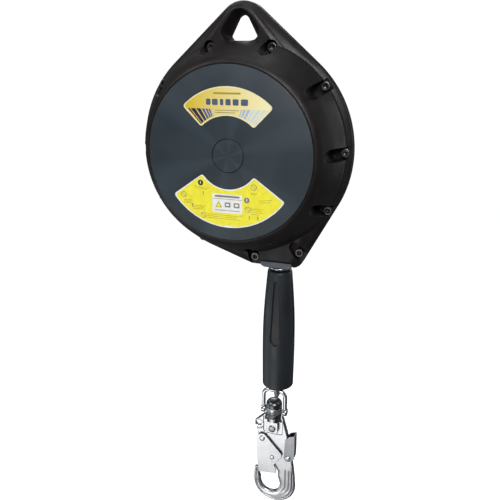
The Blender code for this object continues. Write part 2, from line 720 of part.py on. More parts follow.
def make_hook_body(mat):
    hook = plate("hook_body", hook_outline(), -HOOK_HALF, HOOK_HALF)
    holes = [((0, 0), CLEVIS_RIVET_R + GAP), (EAR_HOLE, 3.6), (GATE_PIVOT, RIVET_R + GAP),
             (LEVER_PIVOT, RIVET_R + GAP)]
    for (x, z), radius in holes:
        hx, hz = hook_point(x, z)
        cut(hook, rod("hole", radius, -10, 10, centre=(hx, 0, hz), steps=16))
    return place(cut(hook, lock_slot()), mat, (SWIVEL_X, 0, RIVET_Z))


def lock_slot():
    """The curved slot that the gate's lock pin runs in."""
    px, pz = GATE_PIVOT
    reach = hypot(LOCK_PIN[0] - px, LOCK_PIN[1] - pz)
    start = atan2(LOCK_PIN[1] - pz, LOCK_PIN[0] - px)
    half = LOCK_PIN_R + GAP
    spare = (half + 0.2) / reach
    steps = 8
    angles = [start - spare + (radians(GATE_OPEN) + 2 * spare) * k / steps for k in range(steps + 1)]
    outer = [hook_point(px + (reach + half) * cos(a), pz + (reach + half) * sin(a)) for a in angles]
    inner = [hook_point(px + (reach - half) * cos(a), pz + (reach - half) * sin(a)) for a in reversed(angles)]
    return plate("lock_slot", outer + inner, -10, 10)


def make_gate(mat, mat_pin):
    """Two cheeks beside the hook, joined by a web along the mouth."""
    px, pz = GATE_PIVOT
    cheek = arc(px, pz, 6.9, 165, 43, 6) + [(13.0, -37.3), (13.6, -41.5), (2.9, -56.6), (6.6, -64.5),
                                            (6.2, -69.2), (-18.8, -72.9), (-20.6, -45), (-20.7, -30)]
    outline = [hook_point(x, z) for x, z in cheek]
    strip = [(-20.6, -45), (-18.8, -72.9), (-17.2, -72.9), (-18.9, -45), (-19, -30), (-20.7, -30)]
    web = [hook_point(x, z) for x, z in strip]
    gate = plate("gate", outline, -GATE_OUT, -GATE_IN)
    weld(gate, plate("web", web, 0.5 - GATE_OUT, GATE_OUT - 0.5), plate("cheek", outline, GATE_IN, GATE_OUT))
    gx, gz = hook_point(*GATE_PIVOT)
    cut(gate, rod("bore", RIVET_R + GAP, -10, 10, centre=(gx, 0, gz), steps=16))
    lx, lz = hook_point(*LOCK_PIN)
    cut(gate, rod("bore", LOCK_PIN_R + GAP, -10, 10, centre=(lx, 0, lz), steps=16))
    place(gate, mat, (gx, 0, gz))
    place(rivet("gate_rivet", (gx, gz), RIVET_R, 3.6, GATE_OUT + GAP), mat_pin, (gx, 0, gz))
    head_in, head_out = GATE_OUT + GAP, GATE_OUT + 1.3
    lock = rod("gate_lock_pin", LOCK_PIN_R, -head_out, head_out, centre=(lx, 0, lz))
    for side in (-1, 1):
        low, high = sorted((side * head_in, side * head_out))
        weld(lock, rod("head", 3.0, low, high, centre=(lx, 0, lz)))
    place(lock, mat_pin, (gx, 0, gz))


def make_lever(mat, mat_pin):
    """A channel along the spine: two cheeks beside the hook, joined by a back wall, its top left open."""
    lx, lz = hook_point(*LEVER_PIVOT)
    cheek = [(16.8, -16.5), (21.6, -10), (29.6, -7), (29.8, -28), (29.4, -43.2), (25.5, -47.2)]
    cheek += arc(*LEVER_PIVOT, 5, -75, -180, 5)
    outline = [hook_point(x, z) for x, z in cheek]
    wall = [(28.1, -7.6), (29.6, -7), (29.8, -28), (29.5, -41), (28, -41)]
    back = [hook_point(x, z) for x, z in wall]
    lever = plate("lock_lever", outline, -LEVER_OUT, -LEVER_IN)
    weld(lever, plate("back", back, 0.4 - LEVER_OUT, LEVER_OUT - 0.4))
    weld(lever, plate("cheek", outline, LEVER_IN, LEVER_OUT))
    cut(lever, rod("bore", RIVET_R + GAP, -12, 12, centre=(lx, 0, lz), steps=16))
    place(lever, mat, (lx, 0, lz))
    place(rivet("lever_rivet", (lx, lz), RIVET_R, 3.6, LEVER_OUT + GAP), mat_pin, (lx, 0, lz))


# ---------------------------------------------------------------- assembly

def main():
    clear_scene()
    black = material("shell_black", (0.020, 0.019, 0.018), 0.5)
    slate = material("slate_plastic", (0.035, 0.045, 0.055), 0.45)
    grip_black = material("grip_black", (0.018, 0.020, 0.022), 0.55)
    yellow = material("label_yellow", (0.85, 0.65, 0.03), 0.4)
    screw_steel = material("screw_steel", (0.08, 0.08, 0.09), 0.35, 1.0)
    steel = material("zinc_steel", (0.55, 0.55, 0.56), 0.4, 1.0)
    bright = material("bright_steel", (0.75, 0.76, 0.78), 0.22, 1.0)
    dark = material("dark_steel", (0.12, 0.12, 0.13), 0.35, 1.0)
    hook_metal = material("hook_plating", (0.78, 0.78, 0.78), 0.3, 1.0)
    rope = material("wire_rope", (0.42, 0.42, 0.40), 0.45, 1.0)
    spring = material("spring_steel", (0.25, 0.26, 0.30), 0.35, 1.0)
    bronze = material("bronze", (0.55, 0.36, 0.16), 0.4, 1.0)
    friction = material("friction_lining", (0.10, 0.075, 0.05), 0.9)

    make_shell("front_shell", True, black)
    make_shell("rear_shell", False, black)
    make_hub_cap("hub_cap_front", True, slate)
    make_hub_cap("hub_cap_rear", False, slate)
    make_label("upper_label", 41, 70, 44.8, 90, yellow)
    make_label("lower_label", 35.2, 77.3, 54.9, 270, yellow)
    make_screws(screw_steel)
    make_frame_plate("frame_plate_front", True, steel)
    make_frame_plate("frame_plate_rear", False, steel)
    make_spacers(steel)
    make_shaft(steel)
    make_circlip(spring)
    make_guide_block(slate)
    make_guide_bush(bright)
    make_spring_case(steel)
    make_spring_cover(steel)
    make_power_spring(spring)
    make_arbor(steel)
    make_drum(slate, steel, rope, bronze)
    make_pawls(steel)
    make_ratchet_ring(steel)
    make_brake(friction, steel)
    rope_lead(rope)
    make_line_end(rope, steel, bright)
    make_grip(grip_black)
    make_bow(bright, dark)
    make_barrel(dark, dark)
    make_spindle(dark, bright)
    make_hook_body(hook_metal)
    make_gate(hook_metal, bright)
    make_lever(hook_metal, bright)


main()
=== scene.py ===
"""The looks of a self retracting lifeline: its skins, prints, rope and finishes.

Shapes are drawn in millimetres about the drum's centre (X right, Y away from the label side, Z up), with
their places read from the model, and each is moved into the model's frame when it is finished.
"""
import json
from math import asin, atan2, ceil, cos, hypot, pi, radians, sin, sqrt

import bmesh
import bpy
import numpy as np
from mathutils import Matrix, Vector


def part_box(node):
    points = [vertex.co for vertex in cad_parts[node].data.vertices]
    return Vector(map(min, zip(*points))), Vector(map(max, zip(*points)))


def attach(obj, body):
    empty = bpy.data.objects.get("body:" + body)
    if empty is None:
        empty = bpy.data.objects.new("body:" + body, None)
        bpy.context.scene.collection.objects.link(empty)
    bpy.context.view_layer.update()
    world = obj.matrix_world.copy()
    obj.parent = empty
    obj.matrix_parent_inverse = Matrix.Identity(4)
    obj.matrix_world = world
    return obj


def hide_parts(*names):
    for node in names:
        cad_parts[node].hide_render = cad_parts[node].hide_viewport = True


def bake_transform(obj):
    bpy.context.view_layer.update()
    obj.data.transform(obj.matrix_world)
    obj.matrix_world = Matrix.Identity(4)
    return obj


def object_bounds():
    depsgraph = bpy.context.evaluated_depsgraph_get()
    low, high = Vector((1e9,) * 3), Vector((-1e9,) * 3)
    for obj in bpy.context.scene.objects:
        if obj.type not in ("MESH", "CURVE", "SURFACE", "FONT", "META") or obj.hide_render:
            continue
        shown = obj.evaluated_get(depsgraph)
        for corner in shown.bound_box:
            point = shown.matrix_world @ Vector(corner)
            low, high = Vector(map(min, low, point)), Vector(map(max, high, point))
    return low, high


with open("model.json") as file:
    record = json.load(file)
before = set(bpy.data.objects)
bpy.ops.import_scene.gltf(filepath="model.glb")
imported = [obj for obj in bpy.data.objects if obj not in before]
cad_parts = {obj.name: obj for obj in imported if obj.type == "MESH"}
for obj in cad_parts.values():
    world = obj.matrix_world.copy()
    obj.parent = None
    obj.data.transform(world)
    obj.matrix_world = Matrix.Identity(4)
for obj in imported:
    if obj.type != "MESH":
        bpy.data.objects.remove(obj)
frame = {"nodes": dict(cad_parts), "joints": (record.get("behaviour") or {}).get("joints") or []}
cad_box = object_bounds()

MM = 0.001


# ---------------- places read from the model

def middle(node):
    low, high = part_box(node)
    return (low + high) / 2


HUB = middle("main_shaft")


def at(node):
    """A node's middle in millimetres about the drum's centre."""
    return (middle(node) - HUB) / MM


def span(node):
    """A node's lowest and highest corner in millimetres about the drum's centre."""
    low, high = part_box(node)
    return (low - HUB) / MM, (high - HUB) / MM


LINE_X = at("wire_rope_lead").x
SWIVEL_X = at("swivel_barrel").x
RIVET = at("clevis_rivet")
GATE_RIVET = at("gate_rivet")
LOCK_PIN = at("gate_lock_pin")
LEVER_RIVET = at("lever_rivet")
PIN_Z = at("bow_pin_left").z
LABEL_FACE = span("upper_label")[0].y
EYE_TOP = -HUB.z / MM          # the bearing point above the drum's axis

# housing
DISC_R = 92.0
HALF_DEPTH = 53.0
SHELL_SHIFT = 0.15
PLATEAU = 16.0
OUTLINE = [(0, 0, 122.0), (0, 125.5, 27.5), (60, -120, 12.5), (13, -120.5, 12)]
LEDGE = [(0, 0, 99.8), (0, 125.5, 21.5), (58, -118, 5.5), (14, -118, 6)]
EYE_FLOOR = 113.5
EYE_HALF = 14.4
EYE_CORNER_R = 3.0
EYE_APEX_R = 6.5
EYE_RIM = 3.0
HUB_CAP_R = 17.3
SEAT = 6.6
POCKET_R = 6.3
SCREW_HOLE_R = 3.2
SCREW_HEAD_R = 5.0
SCREW_SHANK_R = 2.9
SOCKET_APOTHEM = 2.5
FILM = 0.03                    # the thickness of one printed film
SCREW_NODES = ["housing_screw_%02d" % k for k in range(1, 12)]
UPPER_SCREWS = SCREW_NODES[:2]

# rope and grip
ROPE_R = 2.25
ROPE_LAY = 29.0
GRIP_SLOT_ANGLE = 2.0
GRIP_SLOTS = 4
SLOT_TOP = -150.0
SLOT_END = -224.0
GRIP_NECK_R = 14.4
GRIP_BELLY_R = 19.6

# swivel
BOW_WIRE_R = 2.7
BOW_HALF = 14.3
PIN_BORE_R = 2.4
BARREL_R = 10.1
BAND_TOP = -326.4

# hook, in millimetres about the clevis rivet
HOOK_HALF = 3.9
RIVET_BORE_R = 3.3
PIVOT_BORE_R = 2.3
BOWL = (2.4, -89.0)
BOWL_R = 28.6
EAR_HOLE = (-20.0, 0.4)
EAR_HOLE_R = 3.6
LOCK_BORE_R = 2.1              # the lock pin's hole, and half the width of its slot
GATE_OPEN = 22.0
GATE_IN, GATE_OUT = 5.7, 7.0
LEVER_IN, LEVER_OUT = 4.2, 5.4

# stage and camera, in metres
FLOOR_DROP = 0.8               # clear of the hook when the rope is paid out
LIGHTS_DROP = 0.3
ROOM_R = 5.0
SWEEP_R = 2.0
ROOM_HEIGHT = 9.0
CAMERA_PLACE = (0.2186, -0.603, -0.042)
CAMERA_ANGLES = (19.40, 18.60, 0.10)   # azimuth, elevation and roll, in degrees
CAMERA_LENS = 40.97            # millimetres


# ---------------- mesh helpers

def mesh_object(name, verts, faces, merge=True):
    mesh = bpy.data.meshes.new(name)
    mesh.from_pydata([tuple(v) for v in verts], [], [tuple(f) for f in faces])
    bm = bmesh.new()
    bm.from_mesh(mesh)
    if merge:
        bmesh.ops.remove_doubles(bm, verts=bm.verts, dist=1e-4)
    bmesh.ops.recalc_face_normals(bm, faces=bm.faces)
    bm.to_mesh(mesh)
    bm.free()
    obj = bpy.data.objects.new(name, mesh)
    bpy.context.scene.collection.objects.link(obj)
    return obj


def skin(name, rings, closed=False):
    """A skin through rings of points, its ends capped, or joined to each other if closed."""
    count = len(rings[0])
    verts = [p for ring in rings for p in ring]
    faces = []
    last = len(rings) if closed else len(rings) - 1
    for row in range(last):
        low, high = row * count, (row + 1) % len(rings) * count
        for i in range(count):
            j = (i + 1) % count
            faces.append((low + i, low + j, high + j, high + i))
    if not closed:
        faces.append(tuple(range(count)))
        faces.append(tuple(range((len(rings) - 1) * count, len(rings) * count)))
    return mesh_object(name, verts, faces)


def loft(name, sections):
    """A skin through (x, z) outlines, each at its own height along Y."""
    return skin(name, [[(x, y, z) for x, z in outline] for y, outline in sections])


def turn(axis, r, h, angle, centre):
    a, b = r * cos(angle), r * sin(angle)
    local = {"X": (h, a, b), "Y": (a, h, b), "Z": (a, b, h)}[axis]
    return Vector(local) + Vector(centre)


def rounded(points, radius, closed=False, steps=4):
    """A polyline with its corners rounded. radius is one number, or one for each point."""
    count = len(points)
    sizes = radius if hasattr(radius, "__len__") else [radius] * count
    out = []
    for k, (corner, size) in enumerate(zip(points, sizes)):
        ends = not closed and k in (0, count - 1)
        if ends or size <= 0:
            out.append(tuple(corner))
            continue
        p = np.array(corner, float)
        before = np.array(points[k - 1], float) - p
        after = np.array(points[(k + 1) % count], float) - p
        reach = min(size, 0.45 * np.linalg.norm(before), 0.45 * np.linalg.norm(after))
        start = p + before / np.linalg.norm(before) * reach
        end = p + after / np.linalg.norm(after) * reach
        for i in range(steps + 1):
            t = i / steps
            out.append(tuple(start * (1 - t) ** 2 + 2 * p * t * (1 - t) + end * t ** 2))
    return out


def lathe(name, profile, axis="Y", centre=(0, 0, 0), steps=64):
    """A profile of (radius, height) turned about an axis: a ring if it stays clear of the axis."""
    solid = abs(profile[0][0]) < 1e-6 and abs(profile[-1][0]) < 1e-6
    points = profile[1:-1] if solid else profile
    rings = [[turn(axis, r, h, 2 * pi * k / steps, centre) for k in range(steps)] for r, h in points]
    return skin(name, rings, closed=not solid)


def rod(name, radius, low, high, axis="Y", centre=(0, 0, 0), steps=48, edge=0.0):
    profile = rounded([(0, low), (radius, low), (radius, high), (0, high)], edge)
    return lathe(name, profile, axis, centre, steps)


def box(name, low, high):
    outline = [(low[0], low[2]), (high[0], low[2]), (high[0], high[2]), (low[0], high[2])]
    return loft(name, [(low[1], outline), (high[1], outline)])


def inset_outline(outline, inset):
    """A closed outline, anticlockwise or not, moved inwards along its own normals."""
    p = np.array(outline, float)
    ahead, behind = np.roll(p, -1, 0) - p, p - np.roll(p, 1, 0)
    ahead /= np.linalg.norm(ahead, axis=1)[:, None] + 1e-12
    behind /= np.linalg.norm(behind, axis=1)[:, None] + 1e-12
    along = ahead + behind
    along /= np.linalg.norm(along, axis=1)[:, None] + 1e-12
    area = (p[:, 0] * np.roll(p[:, 1], -1) - p[:, 1] * np.roll(p[:, 0], -1)).sum()
    side = 1.0 if area > 0 else -1.0
    inwards = np.stack([-along[:, 1], along[:, 0]], 1) * side
    stretch = 1 / np.clip((along * ahead).sum(1), 0.5, 1)
    return p + inwards * inset * stretch[:, None]


def slab(name, outline, low, high, edge=0.4, steps=3):
    """An (x, z) outline made solid between two heights along Y, with rounded edges."""
    if edge <= 0:
        return loft(name, [(low, outline), (high, outline)])
    sections = []
    for start, way in ((low, 1), (high, -1)):
        side = [(start, inset_outline(outline, edge + 0.12))]
        for k in range(steps + 1):
            a = pi / 2 * k / steps
            side.append((start + way * edge * (1 - cos(a)), inset_outline(outline, edge * (1 - sin(a)))))
        sections += side if way == 1 else side[::-1]
    return loft(name, sections)


def applied(obj):
    graph = bpy.context.evaluated_depsgraph_get()
    mesh = bpy.data.meshes.new_from_object(obj.evaluated_get(graph))
    obj.modifiers.clear()
    obj.data = mesh
    return obj


def boolean(obj, tools, operation):
    for tool in tools:
        mod = obj.modifiers.new(operation, "BOOLEAN")
        mod.operation = operation
        mod.solver = "MANIFOLD"
        mod.object = tool
        applied(obj)
        bpy.data.objects.remove(tool, do_unlink=True)
    return obj


def cut(obj, *tools):
    return boolean(obj, tools, "DIFFERENCE")


def weld(obj, *tools):
    return boolean(obj, tools, "UNION")


def bore(obj, radius, x, z, depth=10):
    """Drill a round hole along Y."""
    return cut(obj, rod("bore", radius, -depth, depth, centre=(x, 0, z), steps=40))


def two_sided(half):
    """A whole profile of (radius, height) made from its half on the rear side."""
    return (half + [(r, -y) for r, y in reversed(half)])[::-1]


def mirrored(obj):
    obj.data.transform(Matrix.Diagonal((1, -1, 1, 1)))
    obj.data.flip_normals()
    return obj


def finish(obj, body, materials, nodes=(), sharp=32):
    """Move a piece from millimetres about the hub into the model's frame and let it ride on its body."""
    obj.data.transform(Matrix.Translation(HUB) @ Matrix.Scale(MM, 4))
    painted = [face.material_index for face in obj.data.polygons]
    obj.data.materials.clear()
    for mat in materials if isinstance(materials, (list, tuple)) else [materials]:
        obj.data.materials.append(mat)
    obj.data.polygons.foreach_set("material_index", painted)
    obj.data.shade_smooth()
    obj.data.set_sharp_from_angle(angle=radians(sharp))
    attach(obj, body)
    if nodes:
        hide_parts(*([nodes] if isinstance(nodes, str) else nodes))
    return obj


def hull_points(circles, steps=240, inset=0.0):
    """The outline of the hull of circles, one point for each direction."""
    points = []
    for k in range(steps):
        nx, nz = cos(2 * pi * k / steps), sin(2 * pi * k / steps)
        x, z, r = max(circles, key=lambda c: c[0] * nx + c[1] * nz + c[2])
        points.append((x + (r - inset) * nx, z + (r - inset) * nz))
    return points


def arc(cx, cz, r, start, end, steps, squash=1.0):
    angles = [radians(start + (end - start) * k / steps) for k in range(steps + 1)]
    return [(cx + r * cos(a), cz + r * squash * sin(a)) for a in angles]


def polar(angle, radius):
    return radius * cos(radians(angle)), radius * sin(radians(angle))


def smooth(t):
    t = np.clip(t, 0, 1)
    return t * t * (3 - 2 * t)


def resampled(outline, step):
    """A closed outline with a point about every step."""
    out = []
    for a, b in zip(outline, outline[1:] + outline[:1]):
        dx, dz = b[0] - a[0], b[1] - a[1]
        count = max(1, ceil(hypot(dx, dz) / step))
        out += [(a[0] + dx * k / count, a[1] + dz * k / count) for k in range(count)]
    return out


def distance_to(outlines, points):
    """The distance of each (x, z) point from the nearest of several closed outlines."""
    best = np.full(len(points), 1e9)
    for outline in outlines:
        a = np.array(outline, float)
        b = np.roll(a, -1, 0)
        for p, q in zip(a, b):
            d = q - p
            t = np.clip(((points - p) @ d) / max(d @ d, 1e-12), 0, 1)
            best = np.minimum(best, np.linalg.norm(points - p - t[:, None] * d, axis=1))
    return best


def coordinates(obj):
    co = np.empty(len(obj.data.vertices) * 3)
    obj.data.vertices.foreach_get("co", co)
    return co.reshape(-1, 3)


def set_coordinates(obj, co):
    obj.data.vertices.foreach_set("co", np.ascontiguousarray(co, float).ravel())
    obj.data.update()


def paint(obj, slot_of):
    """Give each face the material slot that slot_of(centre, normal) returns, in millimetres about the hub."""
    for face in obj.data.polygons:
        face.material_index = slot_of(face.center, face.normal)


# ---------------- materials

class Finish:
    """A Principled material with its pattern built from the piece's own coordinates, in metres."""

    def __init__(self, name, colour, rough, metallic=0.0, coat=0.0, specular=0.5):
        self.mat = bpy.data.materials.new(name)
        self.mat.use_nodes = True
        self.mat.diffuse_color = (*colour, 1)
        self.tree = self.mat.node_tree
        self.shader = self.tree.nodes["Principled BSDF"]
        self.feed(self.shader, {"Base Color": colour, "Roughness": rough, "Metallic": metallic,
                                "Coat Weight": coat, "Coat Roughness": 0.12, "Specular IOR Level": specular})
        self.place = self.node("ShaderNodeTexCoord").outputs["Object"]
        self.normal = None

    def feed(self, node, values):
        """Set a node's inputs, by name or number, each to a value, a colour or another node's socket."""
        for key, value in values.items():
            socket = node.inputs[key]
            if isinstance(value, bpy.types.NodeSocket):
                self.tree.links.new(value, socket)
            elif socket.type == "RGBA":
                socket.default_value = (*value, 1)
            else:
                socket.default_value = value

    def node(self, kind, values=None, **settings):
        made = self.tree.nodes.new(kind)
        for key, value in settings.items():
            setattr(made, key, value)
        self.feed(made, values or {})
        return made

    def noise(self, scale, detail=3.0, stretch=(1, 1, 1)):
        mapping = self.node("ShaderNodeMapping", {"Scale": stretch, "Vector": self.place})
        values = {"Scale": scale, "Detail": detail, "Vector": mapping.outputs["Vector"]}
        return self.node("ShaderNodeTexNoise", values).outputs["Fac"]

    def mapped(self, value, low, high, from_low=0.3, from_high=0.7):
        values = {"From Min": from_low, "From Max": from_high, "To Min": low, "To Max": high, "Value": value}
        return self.node("ShaderNodeMapRange", values).outputs["Result"]

    def mixed(self, factor, a, b):
        """A colour mixed from two colours, each a socket or a colour."""
        mix = self.node("ShaderNodeMix", data_type="RGBA")
        self.feed(mix, {"Factor": factor, "A": a, "B": b})
        return mix.outputs["Result"]

    def colour(self, socket):
        self.feed(self.shader, {"Base Color": socket})
        return self

    def mottle(self, a, b, scale, stretch=(1, 1, 1), detail=3.0):
        return self.colour(self.mixed(self.mapped(self.noise(scale, detail, stretch), 0, 1), a, b))

    def roughness(self, low, high, scale, stretch=(1, 1, 1)):
        self.feed(self.shader, {"Roughness": self.mapped(self.noise(scale, 4.0, stretch), low, high)})
        return self

    def bump(self, scale, height_mm, stretch=(1, 1, 1), detail=2.0, strength=0.6):
        return self.relief(self.noise(scale, detail, stretch), height_mm, strength)

    def relief(self, height, height_mm, strength=0.6):
        values = {"Strength": strength, "Distance": height_mm * MM, "Height": height}
        if self.normal:
            values["Normal"] = self.normal
        return self.bent(self.node("ShaderNodeBump", values))

    def soft_edges(self, radius_mm):
        return self.bent(self.node("ShaderNodeBevel", {"Radius": radius_mm * MM}, samples=4))

    def bent(self, node):
        """Take the shader's normal from a node."""
        self.normal = node.outputs["Normal"]
        self.feed(self.shader, {"Normal": self.normal})
        return self

    def axes(self):
        """The piece's own X, Y and Z about the hub, as sockets in metres."""
        shift = self.node("ShaderNodeVectorMath", {0: self.place, 1: HUB}, operation="SUBTRACT")
        return self.node("ShaderNodeSeparateXYZ", {"Vector": shift.outputs["Vector"]}).outputs[:3]

    def maths(self, operation, a, b=0.0):
        return self.node("ShaderNodeMath", {0: a, 1: b}, operation=operation).outputs["Value"]


def housing_plastic():
    """Moulded black nylon with a fine spark-eroded grain."""
    f = Finish("housing_plastic", (0.009, 0.0075, 0.007), 0.5, specular=0.34)
    f.soft_edges(0.7)
    f.mottle((0.0065, 0.005, 0.0045), (0.012, 0.0095, 0.009), 45)
    f.roughness(0.36, 0.56, 60)
    return f.bump(1500, 0.05, detail=2.0, strength=0.35).bump(130, 0.05, strength=0.2).mat


def disc_plastic():
    """The disc's finer, bluer texture, with painted sheen in lighter streaks out from the hub, and a faint
    relief where the ribs behind it sink the face.
    """
    f = Finish("disc_plastic", (0.035, 0.045, 0.055), 0.5, specular=0.42)
    f.soft_edges(0.6)
    x, _, z = f.axes()
    angle = f.maths("ARCTAN2", z, x)
    spokes = f.maths("ABSOLUTE", f.maths("SINE", f.maths("ADD", f.maths("MULTIPLY", angle, 3.0), 0.55)))
    rib_sinks_and_sheen = f.mapped(spokes, 0.0, 1.0, 0.75, 1.0)
    cloud = f.mixed(f.mapped(f.noise(26, 3.0), 0, 1), (0.020, 0.030, 0.039), (0.028, 0.040, 0.051))
    # Lighter colour along the streaks from the hub: painted sheen. The same pattern, as relief below, gives
    # the ribs' sinking.
    f.colour(f.mixed(f.maths("MULTIPLY", rib_sinks_and_sheen, 0.6), cloud, (0.036, 0.053, 0.066)))
    f.roughness(0.40, 0.55, 34)
    f.relief(rib_sinks_and_sheen, 0.12, 0.25)
    return f.bump(2100, 0.04, detail=2.0, strength=0.35).mat


def slate_plastic():
    f = Finish("guide_plastic", (0.070, 0.085, 0.105), 0.42)
    f.soft_edges(0.4)
    f.mottle((0.060, 0.074, 0.092), (0.080, 0.096, 0.118), 90).roughness(0.34, 0.5, 120)
    return f.bump(1800, 0.04, strength=0.3).mat


def grip_rubber(name="grip_rubber", share=1.0):
    """Satin thermoplastic rubber, a little worn to a shine where a hand holds it."""
    deep = tuple(c * share for c in (0.0115, 0.0145, 0.018))
    pale = tuple(c * share for c in (0.019, 0.023, 0.028))
    f = Finish(name, pale, 0.5)
    f.mottle(deep, pale, 55, (1, 1, 0.4))
    f.roughness(0.38, 0.56, 48, (1, 1, 0.5))
    return f.bump(1500, 0.04, detail=2.0, strength=0.35).bump(160, 0.05, (1, 1, 0.3), strength=0.2).mat


def metal(name, dark, light, rough, brushed, scale, height=0.02, strength=0.3):
    """A metal: patches of two close tones, roughness that varies, and a fine brushed or blasted relief."""
    f = Finish(name, light, rough[0], 1.0)
    f.mottle(dark, light, 35)
    f.roughness(rough[0], rough[1], scale * 0.5, brushed)
    return f.bump(scale, height, brushed, strength=strength).mat


def print_finish(name, colour):
    """A printed colour under a clear film, with the film's faint orange peel."""
    rough = 0.32
    f = Finish(name, colour, rough, coat=0.25)
    paler = tuple(min(1.0, c * 1.05 + 0.01) for c in colour)
    deeper = tuple(c * 0.93 for c in colour)
    f.mottle(deeper, paler, 150).roughness(rough - 0.06, rough + 0.1, 90)
    return f.bump(700, 0.015, strength=0.2).mat


def gradient_finish(name, left, right, width_mm):
    """A print that fades from one colour at the left to another at the right."""
    f = Finish(name, left, 0.32, coat=0.25)
    share = f.mapped(f.axes()[0], 0, 1, -width_mm * MM, width_mm * MM)
    faded = f.mixed(share, left, right)
    soft = f.mapped(f.noise(150), 0.0, 0.08)
    f.colour(f.mixed(soft, faded, (0.80, 0.62, 0.10)))
    f.roughness(0.28, 0.42, 90)
    return f.bump(700, 0.015, strength=0.2).mat


def floor_finish():
    f = Finish("floor_paper", (0.93, 0.93, 0.93), 0.9)
    f.mottle((0.925, 0.925, 0.925), (0.935, 0.935, 0.935), 3)
    f.feed(f.shader, {"Emission Color": (1, 1, 1), "Emission Strength": 0.9})
    return f.mat


METALS = {
    # the material's name, its two tones, its roughness, then the stretch, scale and depth of its relief
    "screw": ("screw_black_oxide", (0.035, 0.035, 0.037), (0.085, 0.085, 0.09), (0.28, 0.42), (1, 1, 1), 900),
    "socket": ("screw_rim", (0.09, 0.09, 0.095), (0.19, 0.19, 0.20), (0.26, 0.38), (1, 1, 1), 900),
    "zinc": ("zinc_plate", (0.46, 0.46, 0.44), (0.60, 0.60, 0.58), (0.30, 0.46), (1, 1, 0.15), 300),
    "spring": ("spring_strip", (0.18, 0.19, 0.23), (0.30, 0.31, 0.35), (0.25, 0.38), (1, 0.1, 1), 500),
    "drum": ("drum_casting", (0.50, 0.51, 0.52), (0.64, 0.65, 0.66), (0.40, 0.58), (1, 1, 1), 700, 0.05),
    "bronze": ("bronze_bush", (0.42, 0.26, 0.11), (0.60, 0.40, 0.19), (0.32, 0.48), (1, 1, 1), 900),
    "rope": ("rope_wire", (0.30, 0.31, 0.27), (0.46, 0.47, 0.42), (0.34, 0.5), (1, 1, 0.2), 1800, 0.04, 0.5),
    "chrome": ("bright_steel", (0.54, 0.56, 0.59), (0.68, 0.70, 0.73), (0.12, 0.22), (1, 1, 1), 260, 0.01),
    "dark": ("dark_steel", (0.11, 0.114, 0.12), (0.21, 0.215, 0.225), (0.24, 0.36), (1, 1, 1), 500),
    "satin": ("clevis_satin", (0.60, 0.61, 0.63), (0.74, 0.75, 0.77), (0.28, 0.40), (1, 1, 0.15), 500),
    "plating": ("hook_plating", (0.68, 0.69, 0.705), (0.78, 0.79, 0.805), (0.27, 0.40), (1, 1, 1), 1300,
                0.03),
    # edge: painted shade, a dark metal laid on edges and side walls to draw dark outlines
    "edge": ("plating_edge", (0.16, 0.165, 0.175), (0.26, 0.265, 0.28), (0.30, 0.44), (1, 1, 1), 900),
    "lever": ("lever_brushed", (0.27, 0.28, 0.30), (0.36, 0.37, 0.39), (0.26, 0.38), (1, 1, 0.08), 900, 0.03),
}
PRINTS = {
    "yellow": (0.93, 0.84, 0.04),
    "cream": (0.86, 0.80, 0.50),
    "white": (0.88, 0.88, 0.86),
    "black": (0.012, 0.012, 0.014),
    "navy": (0.020, 0.022, 0.075),
    "blue": (0.050, 0.10, 0.36),
    "steel_blue": (0.075, 0.11, 0.19),
    "pale_blue": (0.38, 0.52, 0.72),
    "sky": (0.62, 0.72, 0.80),
    "grey": (0.22, 0.22, 0.18),
    "ochre": (0.42, 0.34, 0.04),
}
M = {
    "housing": housing_plastic(),
    "disc": disc_plastic(),
    "slate": slate_plastic(),
    "grip": grip_rubber(),
    # A darker copy of the grip's rubber for the slots' floors: painted shade in the recesses.
    "slot_shade": grip_rubber("grip_slot_shade", 0.35),
}
M.update({key: metal(*recipe) for key, recipe in METALS.items()})
M.update({key: print_finish("print_" + key, colour) for key, colour in PRINTS.items()})
M["fade"] = gradient_finish("print_yellow_fade", (0.72, 0.51, 0.012), (0.97, 0.89, 0.52), 44)
lining = Finish("friction_lining", (0.10, 0.075, 0.05), 0.9)
M["lining"] = lining.mottle((0.06, 0.045, 0.03), (0.16, 0.12, 0.08), 500).bump(900, 0.05).mat


# ---------------- housing

def between(share):
    """Circles part of the way from the flange's outline to the ledge's."""
    return [tuple(a + (b - a) * share for a, b in zip(low, high))
            for low, high in zip(OUTLINE, LEDGE)]


def shell_blank():
    """The flange with its parting groove, the sloped ledge and the dome, all with rounded edges."""
    # height, share of the way from the flange's outline to the ledge's, inset
    levels = [(0, 0, 0.45), (-0.3, 0, 0.45), (-0.5, 0, 0.0), (-5.3, 0, 0), (-6.0, 0.012, 0), (-6.6, 0.05, 0),
              (-7.4, 0.12, 0), (-13.2, 0.72, 0), (-14.5, 0.86, 0.1), (-15.4, 0.97, 0.5), (-15.85, 1, 1.4),
              (-PLATEAU, 1, 2.6)]
    body = loft("shell", [(y, hull_points(between(share), inset=inset)) for y, share, inset in levels])
    flank = [(0, -1), (116.4, -1), (116.4, -15.4), (106.2, -36), (98.2, -48.4), (93.6, -52.4)]
    flank = rounded(flank, [0, 0, 3.0, 9.0, 6.0, 0], steps=6)
    flank += [(92.7, -52.55), (92.35, -52.1), (91.9, -51.9), (91.45, -52.2), (91.2, -52.75),
              (90.6, -HALF_DEPTH), (0, -HALF_DEPTH)]
    return weld(body, lathe("dome", flank, steps=288))


